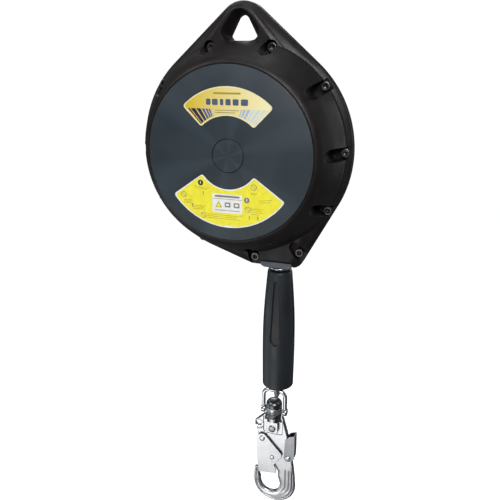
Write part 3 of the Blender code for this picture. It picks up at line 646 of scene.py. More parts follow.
def eye_circles(extra=0.0):
    """The anchor eye grown by extra at its top and sides, with its floor left where it is."""
    side, corner = EYE_HALF - EYE_CORNER_R, EYE_CORNER_R + extra
    apex = (0, EYE_TOP - EYE_APEX_R, EYE_APEX_R + extra)
    return [apex] + [(x, EYE_FLOOR + corner, corner) for x in (side, -side)]


def rim_circles():
    """The moulded rim that lines the eye, inside the frame plates' ends."""
    side, corner = EYE_HALF - EYE_CORNER_R, EYE_CORNER_R + EYE_RIM
    apex = (0, EYE_TOP - EYE_APEX_R, EYE_APEX_R + EYE_RIM)
    return [apex] + [(x, EYE_FLOOR + EYE_CORNER_R, corner) for x in (side, -side)]


def eye_cutter():
    """The eye with a full round lip on the ledge, so that its rim reads as a bar."""
    levels = [(5, 0.8), (-4.4, 1.1), (-8, 2.4), (-12, 4.4), (-14.5, 5.6), (-15.5, 6.2), (-16, 6.8),
              (-16.3, 7.2), (-60, 7.2)]
    return loft("eye", [(y, hull_points(eye_circles(extra), 96)) for y, extra in levels])


def frame_circles(extra):
    """The frame plates' outline, grown by extra."""
    circles = [(0, 0, 36), (-69.2, -48.5, 6.5), (69.2, -48.5, 6.5), (-11, 112, 14), (11, 112, 14),
               (0, 126, 20)]
    return [(x, z, r + extra) for x, z, r in circles]


def screw_pocket(node):
    """A pocket and a hole for a screw. All but the two upper pockets run out through the flange's edge."""
    centre = at(node)
    radius = hypot(centre.x, centre.z)
    dx, dz = centre.x / radius, centre.z / radius
    inner, outer = (1.0, 0.5) if node in UPPER_SCREWS else (8.0, 30.0)
    sections = []
    for y, grow in ((-SEAT, -0.5), (-SEAT - 0.5, 0.0), (-30, 0.9), (-60, 0.9)):
        ends = [(centre.x - inner * dx, centre.z - inner * dz, POCKET_R + grow),
                (centre.x + outer * dx, centre.z + outer * dz, POCKET_R + grow)]
        sections.append((y, hull_points(ends, 64)))
    hole = rod("hole", SCREW_HOLE_R, -20, 5, centre=(centre.x, 0, centre.z), steps=24)
    return [loft("pocket", sections), hole]


def shell_cavity():
    """The hollow that holds the drum, and the room for the frame plate as it bends in to the eye."""
    wall = -HALF_DEPTH + 3.5
    profile = [(0, 1), (98, 1), (98, -14), (96, -38), (DISC_R - 3, wall), (0, wall)]
    hollow = lathe("hollow", profile, steps=96)
    lobe = loft("lobe", [(y, hull_points(frame_circles(0.5), 80)) for y in (-4.4, 5)])
    rim = loft("rim", [(y, hull_points(rim_circles(), 80)) for y in (-6, 8)])
    bend = []
    for z, depth, half in ((83, 46, 36), (84, 46, 35.6), (108.5, 4.4, 29)):
        bend.append([(-half, -depth, z), (half, -depth, z), (half, 4, z), (-half, 4, z)])
    return [hollow, cut(lobe, rim), skin("bend", bend)]


def build_shell(node, front):
    shell = shell_blank()
    cut(shell, *shell_cavity())
    cut(shell, eye_cutter())
    for screw in SCREW_NODES:
        cut(shell, *screw_pocket(screw))
    low, high = span("rope_guide_block")
    cut(shell, box("guide", (low.x - 0.3, low.y - 0.3, -134), (high.x + 0.3, 5, high.z + 0.3)))
    cut(shell, rod("exit", 9, -140, -84, "Z", (LINE_X, 0, 0)))
    seat = [(0, -60), (HUB_CAP_R + 7.0, -60), (HUB_CAP_R + 0.75, -53.2), (HUB_CAP_R + 0.4, -52.5),
            (HUB_CAP_R + 0.4, -51.2), (0, -51.2)]
    cut(shell, rod("cap_hole", HUB_CAP_R - 2.7, -60, -40), lathe("cap_seat", seat, steps=96))
    if not front:
        mirrored(shell)
    shell.data.transform(Matrix.Translation((0, -SHELL_SHIFT if front else SHELL_SHIFT, 0)))
    shell.name = node + "_moulding"
    face = HALF_DEPTH - 1.4
    paint(shell, lambda c, n: 1 if abs(c.y) > face and hypot(c.x, c.z) < 91.3 else 0)
    finish(shell, "housing", [M["housing"], M["disc"]], node)


def build_hub_cap(node, front):
    profile = [(0, -53.1), (16.4, -53.1), (16.95, -52.95), (17.2, -52.6), (HUB_CAP_R, -52.2),
               (HUB_CAP_R, -51.5), (14.3, -51.5), (14.3, -48.6), (11.5, -48.6), (11.5, -51.8), (0, -51.8)]
    cap = lathe(node + "_moulding", profile, steps=96)
    if not front:
        mirrored(cap)
    finish(cap, "housing", M["disc"], node)


def hexagon(a, apothem):
    """The radius of a hexagon at an angle."""
    return apothem / cos((a + pi / 6) % (pi / 3) - pi / 6)


def build_screw(node):
    """A socket-head screw: knurled head with a rolled rim, hexagon socket and plain shank."""
    low, high = span(node)
    x, z = (low.x + high.x) / 2, (low.z + high.z) / 2
    top, tip = low.y, high.y
    head, shank, depth = SCREW_HEAD_R, SCREW_SHANK_R, 5.8
    angles = [2 * pi * k / 72 for k in range(72)]
    rings = []
    for r, y in [(0.01, tip), (2.2, tip), (shank, tip - 0.8), (shank, top + depth), (head - 0.1, top + depth),
                 (head, top + 5.5), (head, top + 1.0), (head - 0.1, top + 0.5), (head - 0.4, top + 0.15),
                 (head - 0.8, top), (3.35, top)]:
        knurl = 0.12 if r == head else 0.0
        rings.append([(x + (r - knurl * (k % 2)) * cos(a), y, z + (r - knurl * (k % 2)) * sin(a))
                      for k, a in enumerate(angles)])
    for apothem, y in ((SOCKET_APOTHEM + 0.1, 0.1), (SOCKET_APOTHEM, 0.4), (SOCKET_APOTHEM, 3.0), (1.2, 3.4),
                       (0.05, 3.7)):
        rings.append([(x + hexagon(a, apothem) * cos(a), top + y, z + hexagon(a, apothem) * sin(a))
                      for a in angles])
    screw = skin(node + "_turned", rings)
    paint(screw, lambda c, n: 1 if c.y < top + 0.35 and hypot(c.x - x, c.z - z) > 2.4 else 0)
    finish(screw, "housing", [M["screw"], M["socket"]], node, sharp=25)


# ---------------- labels

def sector(inner, outer, half_angle, middle, corner=3.0, steps=40):
    """An annular sector about the hub with rounded corners, centred on the direction middle."""
    start, end = middle - half_angle, middle + half_angle
    turn_out = asin(corner / (outer - corner)) * 180 / pi
    turn_in = asin(corner / (inner + corner)) * 180 / pi
    far, near = outer - corner, inner + corner
    points = arc(0, 0, outer, start + turn_out, end - turn_out, steps)
    points += arc(*polar(end - turn_out, far), corner, end - turn_out, end + 90, 8)[1:]
    points += arc(*polar(end - turn_in, near), corner, end + 90, end - turn_in + 180, 8)
    points += arc(0, 0, inner, end - turn_in, start + turn_in, steps)[1:]
    points += arc(*polar(start + turn_in, near), corner, start + turn_in + 180, start + 270, 8)[1:]
    points += arc(*polar(start + turn_out, far), corner, start - 90, start + turn_out, 8)
    return points[:-1]


class Print:
    """Thin flat shapes printed on a label, gathered into one piece with a slot for each colour."""

    def __init__(self, face):
        self.face = face
        self.verts, self.faces, self.slots, self.names = [], [], [], []

    def slot(self, name):
        if name not in self.names:
            self.names.append(name)
        return self.names.index(name)

    def film(self, level):
        """The lower and the upper height of a level."""
        return self.face - FILM * level, self.face - FILM * (level + 1)

    def shape(self, points, name, level=1):
        """A flat shape one film thick, above the film below it."""
        start, count = len(self.verts), len(points)
        for y in self.film(level):
            self.verts += [(x, y, z) for x, z in points]
        made = [tuple(range(start, start + count)), tuple(range(start + count, start + 2 * count))]
        made += [(start + k, start + (k + 1) % count, start + count + (k + 1) % count, start + count + k)
                 for k in range(count)]
        self.faces += made
        self.slots += [self.slot(name)] * len(made)

    def bar(self, x, z, width, height, name, angle=0.0, level=1, corner=0.25):
        w, h = width / 2, height / 2
        radius = min(corner, h, w) * 0.99
        corners = rounded([(-w, -h), (w, -h), (w, h), (-w, h)], radius, closed=True, steps=2)
        c, s = cos(radians(angle)), sin(radians(angle))
        self.shape([(x + a * c - b * s, z + a * s + b * c) for a, b in corners], name, level)

    def disc(self, x, z, r, name, level=1):
        self.shape(arc(x, z, r, 0, 350, 35), name, level)

    def ring(self, x, z, r, width, name, level=1):
        """A flat ring, its top and bottom made of quads."""
        start, steps = len(self.verts), 36
        for y in self.film(level):
            for radius in (r, r - width):
                self.verts += [(a, y, b) for a, b in arc(x, z, radius, 0, 350, steps - 1)]
        made = []
        for k in range(steps):
            j = (k + 1) % steps
            for low, high in ((0, steps), (3 * steps, 2 * steps), (2 * steps, 0), (steps, 3 * steps)):
                made.append((start + low + k, start + low + j, start + high + j, start + high + k))
        self.faces += made
        self.slots += [self.slot(name)] * len(made)

    def triangle(self, x, z, size, name, level=1):
        corners = [polar(90 + 120 * k, size) for k in range(3)]
        self.shape(rounded([(x + a, z + b) for a, b in corners], 0.9, closed=True, steps=3), name, level)

    def lines(self, x, z, width, rows, pitch, name, angle=0.0, height=0.5):
        """Rows of fine plain bars where a label carries its small print."""
        c, s = cos(radians(angle)), sin(radians(angle))
        for k in range(rows):
            w = width * (1.0, 0.86, 0.94, 0.7)[k % 4]
            along, down = (w - width) / 2, -pitch * k
            self.bar(x + along * c - down * s, z + along * s + down * c, w, height, name, angle)

    def build(self, name):
        obj = mesh_object(name, self.verts, self.faces, merge=False)
        obj.data.polygons.foreach_set("material_index", self.slots)
        return finish(obj, "housing", [M[n] for n in self.names])


def label_base(node, inner, outer, half_angle, middle, mat):
    low, high = span(node)
    base = slab(node + "_film", sector(inner, outer, half_angle, middle), low.y, high.y, 0.06, 2)
    finish(base, "housing", mat, node)


def clipped_wedge(a0, a1, inner, top):
    """A radial stripe between two directions, from the inner arc up to a level line."""
    low = [polar(a, inner) for a in (a0, (a0 + a1) / 2, a1)]
    high = [(top / sin(radians(a)) * cos(radians(a)), top) for a in (a1, a0)]
    return low + high


def upper_label():
    """A yellow label that fades to cream, with a fan of stripes and two plain bars in place of words."""
    label_base("upper_label", 41, 70, 44.8, 90, M["cream"])
    prints = Print(LABEL_FACE)
    prints.shape(sector(42.1, 68.9, 43.3, 90, 2.2), "fade", 0)
    edge, top = 43.0, 47.6
    stripes = [(132.3, 131.0, "navy"), (130.2, 126.6, "navy"), (125.2, 121.7, "navy"), (120.3, 117.6, "blue"),
               (116.4, 114.2, "blue"), (113.2, 111.4, "blue"), (110.5, 109.3, "pale_blue")]
    for start, end, name in stripes:
        prints.shape(clipped_wedge(end, start, edge, top), name)
    pales = [(70.5, 72.2), (66.6, 69.2), (62.0, 65.0), (57.2, 60.4), (52.6, 55.4), (49.2, 50.9),
             (47.4, 48.2)]
    for k, (start, end) in enumerate(pales):
        prints.shape(clipped_wedge(start, end, edge, top), "pale_blue" if k < 3 else "sky")
    for x, width in ((-20.3, 5.0), (-13.0, 6.2), (-5.6, 3.6), (1.4, 5.6), (9.6, 6.4), (19.0, 7.6)):
        prints.bar(x, 54.4, width, 6.2, "steel_blue", 0.0, 1, 1.2)
    prints.bar(0.0, 63.0, 30, 1.9, "ochre", 0.0, 1, 0.9)
    prints.lines(0.0, 46.3, 26, 2, 2.2, "grey", height=0.6)
    prints.build("upper_label_print")


def lower_label():
    """A yellow label with a white panel, rings, discs and fine bars in place of its signs and words."""
    label_base("lower_label", 35.2, 77.3, 54.9, 270, M["white"])
    prints = Print(LABEL_FACE)
    prints.shape(sector(36.5, 76.0, 53.6, 270, 2.4), "yellow", 0)
    prints.bar(-0.8, -50.7, 34.2, 20.6, "white", 0, 1, 0.4)
    prints.bar(-0.8, -45.8, 33.0, 0.45, "grey", 0, 2)
    prints.bar(-0.8, -43.0, 28.5, 2.0, "grey", 0, 2, 0.9)
    prints.triangle(-10.6, -53.0, 4.6, "ochre", 2)
    prints.triangle(-10.6, -53.0, 3.1, "yellow", 3)
    for x in (-0.3, 9.9):
        prints.bar(x, -52.0, 6.6, 5.4, "grey", 0, 2, 1.2)
        prints.bar(x, -52.0, 3.6, 2.4, "white", 0, 3, 0.8)
    prints.bar(-0.8, -58.3, 29, 0.7, "grey", 0, 2)
    for x, z, name in ((-31.3, -29.9, "black"), (21.4, -45.3, "grey")):
        prints.disc(x, z, 3.1, name)
        prints.bar(x, z + 0.3, 1.0, 3.2, "white", 0, 2, 0.4)
    for x, z in ((-51.5, -44.0), (29.0, -31.0), (22.4, -55.4), (-28.6, -65.4)):
        prints.ring(x, z, 3.3, 0.55, "grey")
        prints.bar(x, z, 5.6, 0.55, "grey", -45)
    for x, z, width, rows, pitch, angle, height in (
            (-30.0, -34.8, 17, 2, 1.5, -8, 0.5), (-46.5, -50.0, 10, 3, 1.6, 0, 0.5),
            (-33.5, -55.5, 16, 3, 1.7, 0, 0.5), (-4.0, -63.8, 40, 3, 2.0, 0, 0.45),
            (42.0, -44.0, 15, 2, 2.2, 8, 0.5), (33.0, -54.0, 14, 4, 2.0, 0, 0.5),
            (29.5, -37.0, 8, 2, 1.5, 0, 0.5)):
        prints.lines(x, z, width, rows, pitch, "ochre", angle, height)
    for x, z in ((-28.4, -40.9), (-41.5, -55.0), (24.2, -64.0), (33.8, -63.5)):
        prints.disc(x, z + 1.1, 0.75, "grey")
        prints.bar(x, z - 0.9, 0.9, 2.6, "grey")
    prints.bar(0.4, -75.3, 9.0, 1.3, "white", 0, 1, 0.5)
    prints.build("lower_label_print")


# ---------------- rope's outlet

def build_outlet():
    low, high = span("rope_guide_block")
    section = rounded([(low.x, high.z), (low.x, low.z + 2), (low.x + 4, low.z), (high.x - 4, low.z),
                       (high.x, low.z + 2), (high.x, high.z)], 0.8, closed=True)
    block = slab("rope_guide_block_moulding", section, low.y, high.y, 0.6)
    cut(block, rod("bore", 7.3, -140, -100, "Z", (LINE_X, 0, 0)))
    finish(block, "housing", M["slate"], "rope_guide_block")
    low, high = span("rope_guide_bush")
    profile = [(3.2, high.z), (7, high.z), (7, -133.3), (13.7, -133.3), (14.2, -133.7), (14.2, -134.4),
               (13.6, -135.6), (12.3, -137.0), (10.2, -137.6), (6.4, low.z), (4.4, -137.3), (3.2, -135.3)]
    profile = rounded(profile, 0.5, closed=True, steps=3)
    bush = lathe("rope_guide_bush_turned", profile, "Z", (LINE_X, 0, 0), 96)
    finish(bush, "housing", M["chrome"], "rope_guide_bush")


# ---------------- rope

def rope_section(turn_angle, points=42, strands=6):
    """Six strands round a core, seen across the rope: a lobed outline, turned by an angle."""
    strand_r = ROPE_R / 3
    ring_r = ROPE_R - strand_r
    section = []
    for k in range(points):
        a = 2 * pi * k / points
        off = (a + pi / strands) % (2 * pi / strands) - pi / strands
        r = ring_r * cos(off) + sqrt(max(0.0, strand_r ** 2 - (ring_r * sin(off)) ** 2))
        section.append((r * cos(a + turn_angle), r * sin(a + turn_angle)))
    return section


def build_rope_lead():
    """The straight rope. Its strands are laid so that they look right when it is paid out in full."""
    low, high = span("wire_rope_lead")
    travel = frame["joints"][0]["range_m"][1] / MM
    start, end = high.z - 2, low.z + 3
    z, rings = high.z, []
    while True:
        share = smooth(np.array((start - z) / (start - end)))
        paid_out = (high.z - z) + travel * float(share)
        rings.append([(LINE_X + x, y, z) for x, y in rope_section(2 * pi * paid_out / ROPE_LAY)])
        if z <= low.z:
            break
        z = max(low.z, z - 0.4)
    lead = skin("rope_lead_strands", rings)
    lead.data.transform(Matrix.Translation(HUB) @ Matrix.Scale(MM, 4))
    lead.data.materials.append(M["rope"])
    lead.data.shade_smooth()
    lead.data.set_sharp_from_angle(angle=radians(50))
    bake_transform(lead)
    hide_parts("wire_rope_lead")


def swept(name, path, section_at):
    """A bar of any section along a path. section_at(k) gives the section's points at the kth point."""
    points = [Vector(p) for p in path]
    rings, side = [], None
    for k, point in enumerate(points):
        ahead = (points[min(k + 1, len(points) - 1)] - points[max(k - 1, 0)]).normalized()
        side = side or ahead.orthogonal().normalized()
        side = (side - ahead * side.dot(ahead)).normalized()
        other = ahead.cross(side)
        rings.append([point + side * a + other * b for a, b in section_at(k)])
    return skin(name, rings)


def smooth_path(points, step):
    """A Catmull-Rom curve through the points, with a point about every step."""
    p = [Vector(q) for q in points]
    p = [p[0] * 2 - p[1]] + p + [p[-1] * 2 - p[-2]]
    out = []
    for a, b, c, d in zip(p, p[1:], p[2:], p[3:]):
        count = max(1, ceil((c - b).length / step))
        for k in range(count):
            t = k / count
            out.append(0.5 * (2 * b + (c - a) * t + (2 * a - 5 * b + 4 * c - d) * t ** 2
                              + (3 * b - a - 3 * c + d) * t ** 3))
    return out + [p[-2]]


def build_rope_end():
    """The rope's eye laid round its thimble, and the ferrule pressed on above it."""
    thimble = at("thimble")
    leg = [(2.6, -276.3), (3.0, -280.0), (5.6, -287.0), (8.0, -294.0)]
    path = leg + arc(0, thimble.z, 8.6, 0, -180, 12) + [(-y, z) for y, z in reversed(leg)]
    step = 0.7
    path = smooth_path([(LINE_X, y, z) for y, z in path], step)
    eye = swept("rope_eye_strands", path, lambda k: rope_section(2 * pi * k * step / 24))
    finish(eye, "line_end", M["rope"], "rope_eye", sharp=50)
    low, high = span("swage_ferrule")
    profile = [(0, high.z), (2.8, high.z), (4.6, high.z - 0.2), (6, high.z - 2)]
    for k in range(4):
        z = high.z - 4.5 - k * 4
        profile += [(6, z), (5.75, z - 0.5), (5.75, z - 1.7), (6, z - 2.2)]
    profile += [(6, low.z + 2.4), (5.4, low.z), (0, low.z)]
    ferrule = lathe("swage_ferrule_pressed", rounded(profile, 0.25, steps=2), "Z", (LINE_X, 0, 0), 48)
    finish(ferrule, "line_end", M["zinc"], "swage_ferrule")
    low, high = span("thimble")
    half, outer = (high.x - low.x) / 2, 6.0
    profile = [(4.9, -half), (5.4, -half), (outer, -half + 0.35), (outer - 0.45, 0), (outer, half - 0.35),
               (5.4, half), (4.9, half)]
    profile = rounded(profile, 0.2, closed=True, steps=3)
    ring = lathe("thimble_formed", profile, "X", (LINE_X, 0, thimble.z), 64)
    finish(ring, "line_end", M["zinc"], "thimble")


# ---------------- grip

def grip_radius(z, top):
    """The grip swells from its neck to its belly, then draws in a little at the bottom."""
    share = np.clip((top - z) / 90.0, 0, 1)
    belly = GRIP_NECK_R + (GRIP_BELLY_R - GRIP_NECK_R) * np.sin(pi / 2 * share)
    return belly - 0.5 * np.maximum(0.0, (-250 - z) / 42.0)


def slot_half(z):
    """Half the width of a slot, as it widens down the grip."""
    return 3.3 + np.clip((SLOT_TOP - z) / (SLOT_TOP - SLOT_END), 0, 1) * 3.0


def build_grip():
    """A turned body with four long tapered slots that end round, each with crisp walls and a hollow floor."""
    low, high = span("grip_body")
    top, bottom = high.z, low.z
    # directions from a slot's middle (0) past its wall (1) to the middle of the rib (2)
    columns = np.concatenate([np.linspace(0, 0.86, 9), np.linspace(0.9, 1.1, 6), np.linspace(1.16, 2.0, 9)])
    across = np.concatenate([-columns[::-1][:-1], columns])
    heights = np.arange(top - 1.6, bottom + 4.6, -0.7)

    def ring(r, z, slotted=False):
        angles = grip_angles(across, z, top)
        depths = slot_depth(angles, z, r) if slotted else [0.0] * len(angles)
        return [(LINE_X + (r - d) * cos(a), (r - d) * sin(a), z) for a, d in zip(angles, depths)]

    rings = [ring(r, z) for r, z in rounded([(13.3, top), (14.1, top), (14.4, top - 1.2)], 0.5)[1:]]
    rings += [ring(float(grip_radius(z, top)), z, True) for z in heights]
    end_r = float(grip_radius(heights[-1], top))
    end = [(end_r, heights[-1]), (end_r, bottom + 1.1), (end_r - 4.4, bottom), (13.5, bottom), (13.5, -262),
           (8.5, -250), (3.4, -248), (3.4, top)]
    rings += [ring(r, z) for r, z in rounded(end, [0, 3.4, 2.2, 0.8, 2, 1, 0.5, 0], steps=6)[1:]]
    grip = skin("grip_body_moulding", rings, closed=True)
    # The slots' floors take the darker second slot: painted shade in the recesses.
    paint(grip, lambda c, n: 1 if -232 < c.z < -146 and 10 < hypot(c.x - LINE_X, c.y)
          < float(grip_radius(c.z, top)) - 1.2 else 0)
    finish(grip, "grip", [M["grip"], M["slot_shade"]], "grip_body", sharp=40)


def grip_angles(across, z, top):
    """Directions round the grip, crowded along the walls of its slots."""
    r = float(grip_radius(min(z, top), top))
    half = float(slot_half(z)) / r
    out = []
    for k in range(GRIP_SLOTS):
        centre = radians(GRIP_SLOT_ANGLE + 360 / GRIP_SLOTS * k)
        for share in across[:-1]:
            inside = min(abs(share), 1.0) * half
            beyond = max(0.0, abs(share) - 1.0) * (pi / GRIP_SLOTS - half)
            out.append(centre + (inside + beyond) * (1 if share >= 0 else -1))
    return out


def slot_depth(angles, z, r):
    """How far the surface is sunk at each direction, inside a long capsule that widens downwards."""
    half = float(slot_half(z))
    beyond = max(z - (SLOT_TOP - 2.5), SLOT_END - z, 0.0)
    pitch = 2 * pi / GRIP_SLOTS
    out = []
    for a in angles:
        s = abs((a - radians(GRIP_SLOT_ANGLE) + pitch / 2) % pitch - pitch / 2) * r
        inside = half - hypot(s, beyond)
        wall = float(smooth(np.array((inside + 0.25) / 0.9)))
        hollow = 0.5 * max(0.0, 1 - (s / max(half, 0.1)) ** 2)
        out.append(wall * (2.1 + hollow))
    return out


# ---------------- swivel

def build_bow():
    """A bright bar bent over the rope's eye, with a boss at each foot for its pin."""
    top = span("bow")[1].z - BOW_WIRE_R
    corner = 8.6
    right = [(BOW_HALF, PIN_Z), (BOW_HALF, PIN_Z + 6), (BOW_HALF, PIN_Z + 12)]
    right += arc(BOW_HALF - corner, top - corner, corner, 0, 90, 24)
    path = right + [(-x, z) for x, z in reversed(right)]
    section = [(BOW_WIRE_R * cos(2 * pi * i / 32), BOW_WIRE_R * sin(2 * pi * i / 32)) for i in range(32)]
    bow = swept("bow_bent", [(SWIVEL_X + x, 0, z) for x, z in path], lambda k: section)
    boss = [(0, -2.9), (4.9, -2.9), (5.2, 0), (4.9, 2.9), (0, 2.9)]
    for way in (-1, 1):
        centre = (SWIVEL_X + way * BOW_HALF, 0, PIN_Z)
        weld(bow, lathe("boss", rounded(boss, [0, 1.2, 1.5, 1.2, 0], steps=5), "X", centre, 48))
        cut(bow, rod("bore", PIN_BORE_R, -8, 8, "X", centre, 40))
    finish(bow, "bow", M["chrome"], "bow")
    for node in ("bow_pin_left", "bow_pin_right"):
        low, high = span(node)
        pin = rod(node + "_turned", 2.2, low.x, high.x, "X", (0, 0, PIN_Z), 40, 0.4)
        finish(pin, "bow", M["dark"], node)


def build_barrel():
    """The swivel's barrel: a dark dome over a ground band, with a small pin hole in the band."""
    low, high = span("swivel_barrel")
    r, crown = BARREL_R, 6.5
    dome = [(0, high.z)]
    dome += [(r * sin(a), high.z - crown + crown * cos(a)) for a in np.linspace(0.08, pi / 2, 16)]
    side = [(r, -325.2), (r - 0.35, -325.6), (r - 0.35, -326.0), (r, BAND_TOP), (r, -334.4), (r - 0.5, low.z),
            (6.8, low.z), (6.8, -324), (0, -324)]
    barrel = lathe("swivel_barrel_turned", dome + side, "Z", (SWIVEL_X, 0, 0), 96)
    for centre in (-8.6, 8.6):
        cut(barrel, rod("bore", PIN_BORE_R, centre - 1.9, centre + 1.9, "X", (SWIVEL_X, 0, PIN_Z), 40))
    cut(barrel, rod("pin_hole", 0.9, -12, -7.5, "Y", (SWIVEL_X, 0, PIN_Z + 1.2), 24))
    paint(barrel, lambda c, n: 1 if -334.6 < c.z < BAND_TOP + 0.1 and hypot(c.x - SWIVEL_X, c.y) > 9.2 else 0)
    finish(barrel, "swivel_head", [M["dark"], M["satin"]], "swivel_barrel")
    low, high = span("swivel_collar")
    profile = [(4.7, low.z), (9.2, low.z), (9.8, low.z + 0.6), (9.8, high.z - 0.5), (9.3, high.z),
               (4.7, high.z)]
    profile = rounded(profile, 0.3, closed=True, steps=3)
    collar = lathe("swivel_collar_turned", profile, "Z", (SWIVEL_X, 0, 0), 96)
    finish(collar, "swivel_head", M["dark"], "swivel_collar")


def build_clevis():
    """The spindle's head and neck above a fork whose cheeks straddle the hook."""
    low, high = span("swivel_clevis")
    profile = [(0, high.z), (5.9, high.z), (6.3, high.z - 0.5), (6.3, -335.0), (4.3, -335.2), (4.3, -341.0),
               (8.2, -341.0), (8.8, -341.6), (8.8, -346.2), (0, -346.2)]
    clevis = lathe("swivel_clevis_forged", profile, "Z", (SWIVEL_X, 0, 0), 72)
    left, right, top = SWIVEL_X - 7.3, SWIVEL_X + 7.3, -345
    corners = [(left, top), (left, low.z), (right, low.z), (right, top)]
    cheek = rounded(corners, [0.2, 2.2, 2.2, 0.2], closed=True)
    for way in (-1, 1):
        near, far = sorted((way * (HOOK_HALF + 0.3), way * 8.5))
        weld(clevis, slab("cheek", cheek, near, far, 0.4))
    bore(clevis, RIVET_BORE_R, RIVET.x, RIVET.z, 20)
    # Only the cheeks' front and rear faces take the satin slot; their side walls keep the dark steel as
    # painted shade.
    paint(clevis, lambda c, n: 1 if c.z < -341.5 and abs(n.y) > 0.8 and abs(c.y) > 8 else 0)
    finish(clevis, "hook", [M["dark"], M["satin"]], "swivel_clevis")


def build_rivet(node, mat):
    """A rivet with a low domed head on each side."""
    low, high = span(node)
    x, z = (low.x + high.x) / 2, (low.z + high.z) / 2
    head = (high.x - low.x) / 2
    reach = high.y - 1.7
    shank = 3.0 if node == "clevis_rivet" else 2.0
    half = [(0, high.y), (head * 0.4, high.y - 0.08), (head * 0.68, high.y - 0.25),
            (head * 0.9, high.y - 0.5), (head, high.y - 0.85), (head, reach), (shank, reach)]
    made = lathe(node + "_set", two_sided(half), "Y", (x, 0, z), 48)
    # The heads' round sides take the dark second slot: painted shade drawn as an outline round each head.
    paint_edge_shade(made, 0.7)
    finish(made, "hook", [mat, M["edge"]], node, sharp=40)


# ---------------- hook

def hook_point(x, z):
    """A place on the hook, from millimetres about the clevis rivet to millimetres about the hub."""
    return RIVET.x + x, RIVET.z + z


def hook_points(points, radius, steps=4):
    return [hook_point(x, z) for x, z in rounded(points, radius, closed=True, steps=steps)]


def about_rivet(place):
    return place.x - RIVET.x, place.z - RIVET.z


def hook_outline():
    """The hook's outline about the clevis rivet: head, neck, spine, bowl, nose and throat."""
    points = [(-12, 16.2), (-10.5, 16.2), (-10.5, 8), (10.5, 8), (10.5, 16.2), (12, 16.2), (18.4, -7.4),
              (19.6, -12), (19.6, -32), (24.5, -37.5), (26.2, -44), (26.4, -52), (28.6, -64), (30, -74)]
    sizes = [0.8, 0.3, 1.2, 1.2, 0.3, 0.8, 3, 3, 4, 4, 4, 6, 6, 4]
    bowl = arc(*BOWL, BOWL_R, 12, -180, 60)
    nose = [(-26.2, -80), (-25.6, -72)] + arc(-23.3, -71.3, 2.3, 160, 20, 8) + [(-20.2, -75), (-18.2, -82)]
    throat = arc(-4.3, -87.5, 12.8, 170, 270, 22, 1.21) + arc(-0.3, -87.5, 10.2, 270, 360, 22, 1.52)
    spine = [(7.8, -80.5), (6.4, -76.5), (7, -70.5), (6.4, -68.4), (-6.6, -44.4), (-8.5, -32)]
    cam = arc(*about_rivet(GATE_RIVET), 6.3, -60, -170, 12) + [(-21.5, -9)]
    cam += arc(*EAR_HOLE, 6.0, 230, 125, 14)
    points += bowl + nose + throat + spine + cam
    sizes += [0] * len(bowl) + [3, 1] + [0] * 9 + [2, 3] + [0] * len(throat) + [3, 2, 2, 2, 4, 2]
    sizes += [0] * 13 + [3] + [0] * 15
    return hook_points(points, sizes, 5)


def lock_slot():
    """The curved slot that the gate's lock pin runs in."""
    px, pz = GATE_RIVET.x, GATE_RIVET.z
    dx, dz = LOCK_PIN.x - px, LOCK_PIN.z - pz
    reach, start, half = hypot(dx, dz), atan2(dz, dx), LOCK_BORE_R
    spare = (half + 0.2) / reach
    angles = np.linspace(start - spare, start + radians(GATE_OPEN) + spare, 17)
    outer = [(px + (reach + half) * cos(a), pz + (reach + half) * sin(a)) for a in angles]
    inner = [(px + (reach - half) * cos(a), pz + (reach - half) * sin(a)) for a in reversed(angles)]
    return rounded(outer + inner, [1.2 if k in (0, 16, 17, 33) else 0 for k in range(34)], closed=True)


def remeshed(obj, voxel, passes=2):
    """An even fine skin over the same solid, so that it can be shaped like a forging."""
    mod = obj.modifiers.new("voxels", "REMESH")
    mod.mode = "VOXEL"
    mod.voxel_size = voxel
    applied(obj)
    mod = obj.modifiers.new("relax", "SMOOTH")
    mod.factor = 0.5
    mod.iterations = passes
    return applied(obj)


def paint_edge_shade(obj, facing):
    """The second slot, a darker metal, on every face that turns away from the label side or the rear: painted
    shade that draws dark outlines along edges and side walls.
    """
    paint(obj, lambda c, n: 1 if abs(n.y) < facing else 0)


def quarter_round(d):
    """The height of a round edge of radius 1 at a distance in from it."""
    return np.sqrt(1 - (1 - np.clip(d, 0, 1)) ** 2)


def groove(distance, place):
    return np.exp(-((distance - place) / 0.6) ** 2)


def channel(name, cheek, wall, inner, outer, half, edge, wall_edge):
    """A pressed channel: two cheeks, at inner to outer each side of the hook, joined by a wall."""
    made = slab(name, cheek, -outer, -inner, edge)
    return weld(made, slab("wall", wall, -half, half, wall_edge), slab("cheek", cheek, inner, outer, edge))


